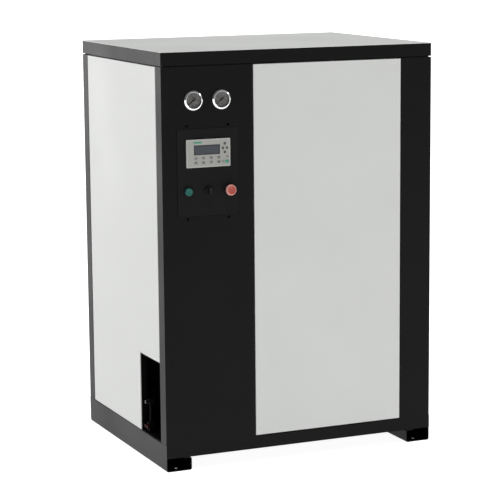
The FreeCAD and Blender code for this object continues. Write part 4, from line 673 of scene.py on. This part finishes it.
def operator_panel():
    """Key tops with numbers and arrows printed on them, and a plain colour bar."""
    pale_key = moulded("key_grey", (0.235, 0.235, 0.220), 0.4, Specular_IOR_Level=0.25)
    dark_key = moulded("key_dark", (0.040, 0.040, 0.039), 0.45, Specular_IOR_Level=0.2)
    green_key = moulded("key_green", (0.035, 0.225, 0.135), 0.38)
    mid_key = moulded("key_mid", (0.190, 0.190, 0.180), 0.4)
    ink = moulded("key_ink", (0.030, 0.030, 0.029), 0.6, Specular_IOR_Level=0.2)
    keys("operator_panel_function_keys", FUNCTION_KEYS, 14.4, 9.4, pale_key)
    keys("operator_panel_arrow_keys", ARROW_KEYS.values(), 8.6, 8.6, dark_key)
    keys("operator_panel_escape_key", [ESCAPE_KEY], 12.4, 7.4, mid_key)
    keys("operator_panel_shift_key", [SHIFT_KEY], 9.4, 10.4, mid_key)
    keys("operator_panel_enter_key", [ENTER_KEY], 14.4, 11.4, green_key)
    top_y = KEY_FACE - KEY_T
    print_t = 0.08 * MM
    bm = bmesh.new()
    for number, place in enumerate(FUNCTION_KEYS, start=1):
        at = on_terminal(place)
        add_number(bm, str(number), 11.0 * MM, at.x, top_y, at.y, print_t)
    finish_piece("operator_panel_key_numbers", bm, CABINET, ink)
    bm = bmesh.new()
    for turn_deg, place in ARROW_KEYS.items():
        centre = on_terminal(place)
        corners = [math.radians(turn_deg + step) for step in (0, 120, 240)]
        outline = [centre + Vector((math.cos(a), math.sin(a))) * 1.5 * MM for a in corners]
        cap(bm, outline, top_y, top_y - print_t)
    finish_piece("operator_panel_arrow_marks", bm, CABINET, membrane)
    bar = key_outline((44.0, 91.0), 32.0, 6.4, 0.8)
    sheet_y = KEY_FACE + 0.6 * MM  # the membrane between the embossed keys
    bm = bmesh.new()
    cap(bm, bar, sheet_y, sheet_y - 0.12 * MM)
    finish_piece("operator_panel_colour_bar", bm, CABINET, green_key)


# ---------------------------------------------------------------- switches
collar_low, collar_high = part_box("switch_collars")
COLLAR_R = (collar_high.z - collar_low.z) / 2
PLATE_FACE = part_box("control_plate")[0].y
SWITCH_Z = (collar_low.z + collar_high.z) / 2
START_X = collar_low.x + COLLAR_R
SELECTOR_X = (collar_low.x + collar_high.x) / 2
STOP_X = collar_high.x - COLLAR_R


def start_button():
    """Flush push button: a cap with a shallow dish and a soft shoulder, on its stem."""
    low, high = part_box("start_button")
    r = (high.z - low.z) / 2
    proud = PLATE_FACE - low.y
    back = PLATE_FACE - high.y
    stem_r = 8.2 * MM
    under = 5.2 * MM
    dish = [(r * k / 10, proud - 0.5 * MM * (1 - (k / 8) ** 2)) for k in range(9)]
    shoulder = rounded([dish[-1], (r, proud), (r, under)], [0, 1.9 * MM, 0], closed=False)
    profile = dish + [tuple(p) for p in shoulder[1:]] + [(stem_r, under), (stem_r, back), (0.0, back)]
    bm = bmesh.new()
    turn(bm, profile, (START_X, PLATE_FACE, SWITCH_Z), FRONT)
    finish_piece("start_button_cap", bm, "start_button", start_plastic, ["start_button"])


def stop_head():
    """Mushroom head: a dished face inside a rolled crown, and a waist under it."""
    low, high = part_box("stop_button_head")
    r = (high.z - low.z) / 2
    crown = PLATE_FACE - low.y
    foot = PLATE_FACE - high.y
    bore_r = 8.25 * MM
    seat = 24.1 * MM
    outline = [
        (0.0, crown - 1.5 * MM),
        (9.5 * MM, crown - 1.2 * MM),
        (13.6 * MM, crown + 0.2 * MM),
        (18.0 * MM, crown - 1.6 * MM),
        (r + 0.2 * MM, 25.5 * MM),
        (r, 20.6 * MM),
        (14.6 * MM, 16.8 * MM),
        (12.0 * MM, foot),
        (bore_r, foot),
        (bore_r, seat),
        (0.0, seat),
    ]
    radii = [0, 12 * MM, 5 * MM, 7 * MM, 9 * MM, 2 * MM, 6 * MM, 0.5 * MM, 0, 0, 0]
    profile = [(p.x, p.y) for p in rounded(outline, radii, steps=8, closed=False)]
    bm = bmesh.new()
    turn(bm, profile, (STOP_X, PLATE_FACE, SWITCH_Z), FRONT, segments=128)
    head = "stop_button_head"
    finish_piece("stop_button_mushroom", bm, head, stop_plastic, [head])


def selector_pointer():
    """Grey line let into the grip's groove."""
    low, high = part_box("selector_knob")
    half_w = 0.65 * MM
    grey = moulded("pointer_grey", (0.060, 0.060, 0.058), 0.5, Specular_IOR_Level=0.1)
    corner = (SELECTOR_X - half_w, low.y + 0.1 * MM, SWITCH_Z + 3.2 * MM)
    opposite = (SELECTOR_X + half_w, low.y + 0.6 * MM, high.z - 1.2 * MM)
    bm = bmesh.new()
    block(bm, corner, opposite)
    finish_piece("selector_pointer", bm, "selector_knob", grey)


# ---------------------------------------------------------------- inside the cabinet
CONDENSER_PORTS = (530.0 * MM, 1230.0 * MM)
GUARD_RINGS = (90.0 * MM, 120.0 * MM, 150.0 * MM, 180.0 * MM, 207.0 * MM)
GUARD_SPOKES = 12


def condenser():
    """Fin-and-tube block: thin fins on rows of copper tube between flanged end plates."""
    low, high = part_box("condenser_coil")
    sheet_t = 3.0 * MM
    port_reach = 25.0 * MM
    port_r = 9.6 * MM
    block_z = 480.0 * MM
    x0 = low.x
    x1 = high.x - port_reach
    bm = bmesh.new()
    for x in (x0, x1 - sheet_t):
        block(bm, (x, low.y, low.z), (x + sheet_t, high.y, high.z))
    for z in (block_z, high.z - sheet_t):
        block(bm, (x0 + sheet_t, low.y, z), (x1 - sheet_t, high.y, z + sheet_t))
    finish_piece("condenser_frame", bm, CABINET, zinc, ["condenser_coil"])
    fin_pitch = 3.2 * MM
    fin_t = 0.25 * MM
    count = int((x1 - x0 - 2 * sheet_t) / fin_pitch) - 1
    first = (x0 + x1 - (count - 1) * fin_pitch) / 2
    fins = metal("fin_aluminium", (0.78, 0.79, 0.80), 0.32, streaks=(1, 1, 0.1))
    bm = bmesh.new()
    for k in range(count):
        x = first + k * fin_pitch
        foot = (x, low.y + sheet_t, block_z + sheet_t)
        block(bm, foot, (x + fin_t, high.y - sheet_t, high.z - sheet_t))
    finish_piece("condenser_fins", bm, CABINET, fins)
    tube_r = 4.8 * MM
    tube_pitch = 25.0 * MM
    row_in = 22.0 * MM  # from the block's faces to its two rows of tubes
    rows = int((high.z - block_z - 2 * sheet_t) / tube_pitch)
    start_z = (block_z + high.z - (rows - 1) * tube_pitch) / 2
    bm = bmesh.new()
    for row, y in enumerate((low.y + row_in, high.y - row_in)):
        for k in range(rows - row):
            z = start_z + (k + row / 2) * tube_pitch
            bar(bm, Vector((x0 + sheet_t, y, z)), Vector((x1 - sheet_t, y, z)), tube_r)
    middle_y = (low.y + high.y) / 2
    for z in CONDENSER_PORTS:
        inner = Vector((x1 - sheet_t, middle_y, z))
        bar(bm, inner, Vector((high.x, middle_y, z)), port_r, sides=32)
    finish_piece("condenser_tubes", bm, CABINET, copper)


def guard():
    """Welded round-wire guard around the centre plate that carries the motor."""
    low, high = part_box("fan_guard")
    centre = Vector(((low.x + high.x) / 2, 0, (low.z + high.z) / 2))
    outer = (high.x - low.x) / 2
    plate_r = 60.0 * MM
    bore = 12.0 * MM
    band_w = 12.0 * MM
    band_t = 3.0 * MM
    wire_r = 1.5 * MM
    spoke_r = 1.9 * MM
    on_plate = 8.0 * MM  # how far the spokes lap over the plate and the band
    on_band = 3.0 * MM
    wire_y = low.y + 2.5 * MM
    bm = bmesh.new()
    plate_t = 4.0 * MM
    edge = 0.8 * MM
    disc = [(bore, 0.0), (plate_r, 0.0), (plate_r, plate_t - edge)]
    disc += [(plate_r - edge, plate_t), (bore, plate_t)]
    plate_back = (centre.x, low.y + plate_t, centre.z)
    turn(bm, disc, plate_back, FRONT, closed=True)
    for radius in GUARD_RINGS:
        ring(bm, (centre.x, wire_y, centre.z), radius, wire_r)
    band = [(outer - band_w, 0.0), (outer, 0.0), (outer, band_t), (outer - band_w, band_t)]
    turn(bm, band, plate_back, FRONT, closed=True)
    for k in range(GUARD_SPOKES):
        a = math.tau * k / GUARD_SPOKES
        ray = Vector((math.cos(a), 0, math.sin(a)))
        at = Vector((centre.x, wire_y, centre.z))
        bar(bm, at + ray * (plate_r - on_plate), at + ray * (outer - on_band), spoke_r)
    finish_piece("fan_guard_wires", bm, CABINET, guard_paint, ["fan_guard"])


def jacket_bands():
    """Black straps pulled round the foam jacket of the heat exchanger."""
    low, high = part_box("heat_exchanger")
    t = 1.0 * MM
    half = 8.0 * MM
    bm = bmesh.new()
    for share in (0.14, 0.5, 0.86):
        z = low.z + (high.z - low.z) * share
        for y0, y1 in ((low.y - t, low.y), (high.y, high.y + t)):
            block(bm, (low.x - t, y0, z - half), (high.x + t, y1, z + half))
        for x0, x1 in ((low.x - t, low.x), (high.x, high.x + t)):
            block(bm, (x0, low.y, z - half), (x1, high.y, z + half))
    strap = moulded("strap_nylon", (0.030, 0.030, 0.032), 0.4)
    finish_piece("exchanger_straps", bm, CABINET, strap)


gauge_bezels()
gauge_scales()
needles()
operator_panel()
start_button()
stop_head()
selector_pointer()
condenser()
guard()
jacket_bands()


# ---------------------------------------------------------------- floor, light and camera
SURROUND = 0.15
FLOOR_R = 90.0
FLOOR_GLOW = 0.95
OVERHEAD = 3.25  # watts per square metre
OVERHEAD_FROM = (-0.05, -0.02, 1.0)
LEFT_BOX = 52.0  # watts
RIGHT_BOX = 34.0


def floor():
    """A wide, pale, matt studio floor. It glows, so that it comes out white and without shadows."""
    finish = Finish("studio_floor", (0.62, 0.62, 0.62), 0.8, Specular_IOR_Level=0.1)
    finish.set("Base Color", finish.shade(finish.noise(0.7), 0.995, 1.005))
    finish.set("Emission Color", (1.0, 1.0, 1.0, 1))
    finish.set("Emission Strength", FLOOR_GLOW)
    bm = bmesh.new()
    bmesh.ops.create_circle(bm, cap_ends=True, segments=96, radius=FLOOR_R)
    mesh = bpy.data.meshes.new("studio_floor")
    bm.to_mesh(mesh)
    bm.free()
    mesh.materials.append(finish.material)
    plane = bpy.data.objects.new("studio_floor", mesh)
    bpy.context.scene.collection.objects.link(plane)


def softbox(name, place, target, width, height, power):
    """An area light that faces a target and isn't seen itself."""
    lamp = bpy.data.lights.new(name, "AREA")
    lamp.shape = "RECTANGLE"
    lamp.size = width
    lamp.size_y = height
    lamp.energy = power
    holder = bpy.data.objects.new(name, lamp)
    holder.location = place
    holder.rotation_euler = (Vector(target) - Vector(place)).to_track_quat("-Z", "Y").to_euler()
    holder.visible_camera = False
    bpy.context.scene.collection.objects.link(holder)


def studio():
    """A dim surround, soft light from overhead, and soft boxes behind the left and before the right."""
    world = bpy.data.worlds.new("studio")
    world.use_nodes = True
    world.node_tree.nodes["Background"].inputs["Color"].default_value = (1.0, 1.0, 1.0, 1)
    world.node_tree.nodes["Background"].inputs["Strength"].default_value = SURROUND
    bpy.context.scene.world = world
    lamp = bpy.data.lights.new("overhead", "SUN")
    lamp.energy = OVERHEAD
    lamp.angle = math.radians(28)
    holder = bpy.data.objects.new("overhead", lamp)
    holder.rotation_euler = Vector(OVERHEAD_FROM).to_track_quat("Z", "Y").to_euler()
    holder.visible_glossy = False
    bpy.context.scene.collection.objects.link(holder)
    softbox("left_box", (-3.6, 6.6, 1.1), (0.0, 0.0, 0.5), 5.0, 2.1, LEFT_BOX)
    softbox("right_box", (5.1, -1.75, 3.5), (0.0, 0.0, 1.3), 1.2, 1.2, RIGHT_BOX)


def camera():
    """The view from the front left, a little above the operator panel, through a long lens."""
    azimuth = math.radians(-23.596)
    elevation = math.radians(9.469)
    roll = math.radians(-0.502)
    distance = 7.6915
    aside = -0.0180
    above = -0.0443
    level = Vector((math.sin(azimuth), -math.cos(azimuth), 0))
    back = level * math.cos(elevation) + UP * math.sin(elevation)
    right = (-back).cross(UP).normalized()
    up = back.cross(right)
    turned_right = right * math.cos(roll) + up * math.sin(roll)
    turned_up = up * math.cos(roll) - right * math.sin(roll)
    data = bpy.data.cameras.new("camera")
    data.sensor_width = 36.0
    data.lens = 140.5
    data.clip_end = 400.0
    eye = bpy.data.objects.new("camera", data)
    bpy.context.scene.collection.objects.link(eye)
    middle = UP * (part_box("top_cover")[1].z / 2)
    place = middle + back * distance + turned_right * aside + turned_up * above
    turn_matrix = Matrix((turned_right, turned_up, back)).transposed()
    eye.matrix_world = Matrix.Translation(place) @ turn_matrix.to_4x4()
    bpy.context.scene.camera = eye


floor()
studio()
camera()
bpy.context.scene.view_settings.view_transform = "Standard"
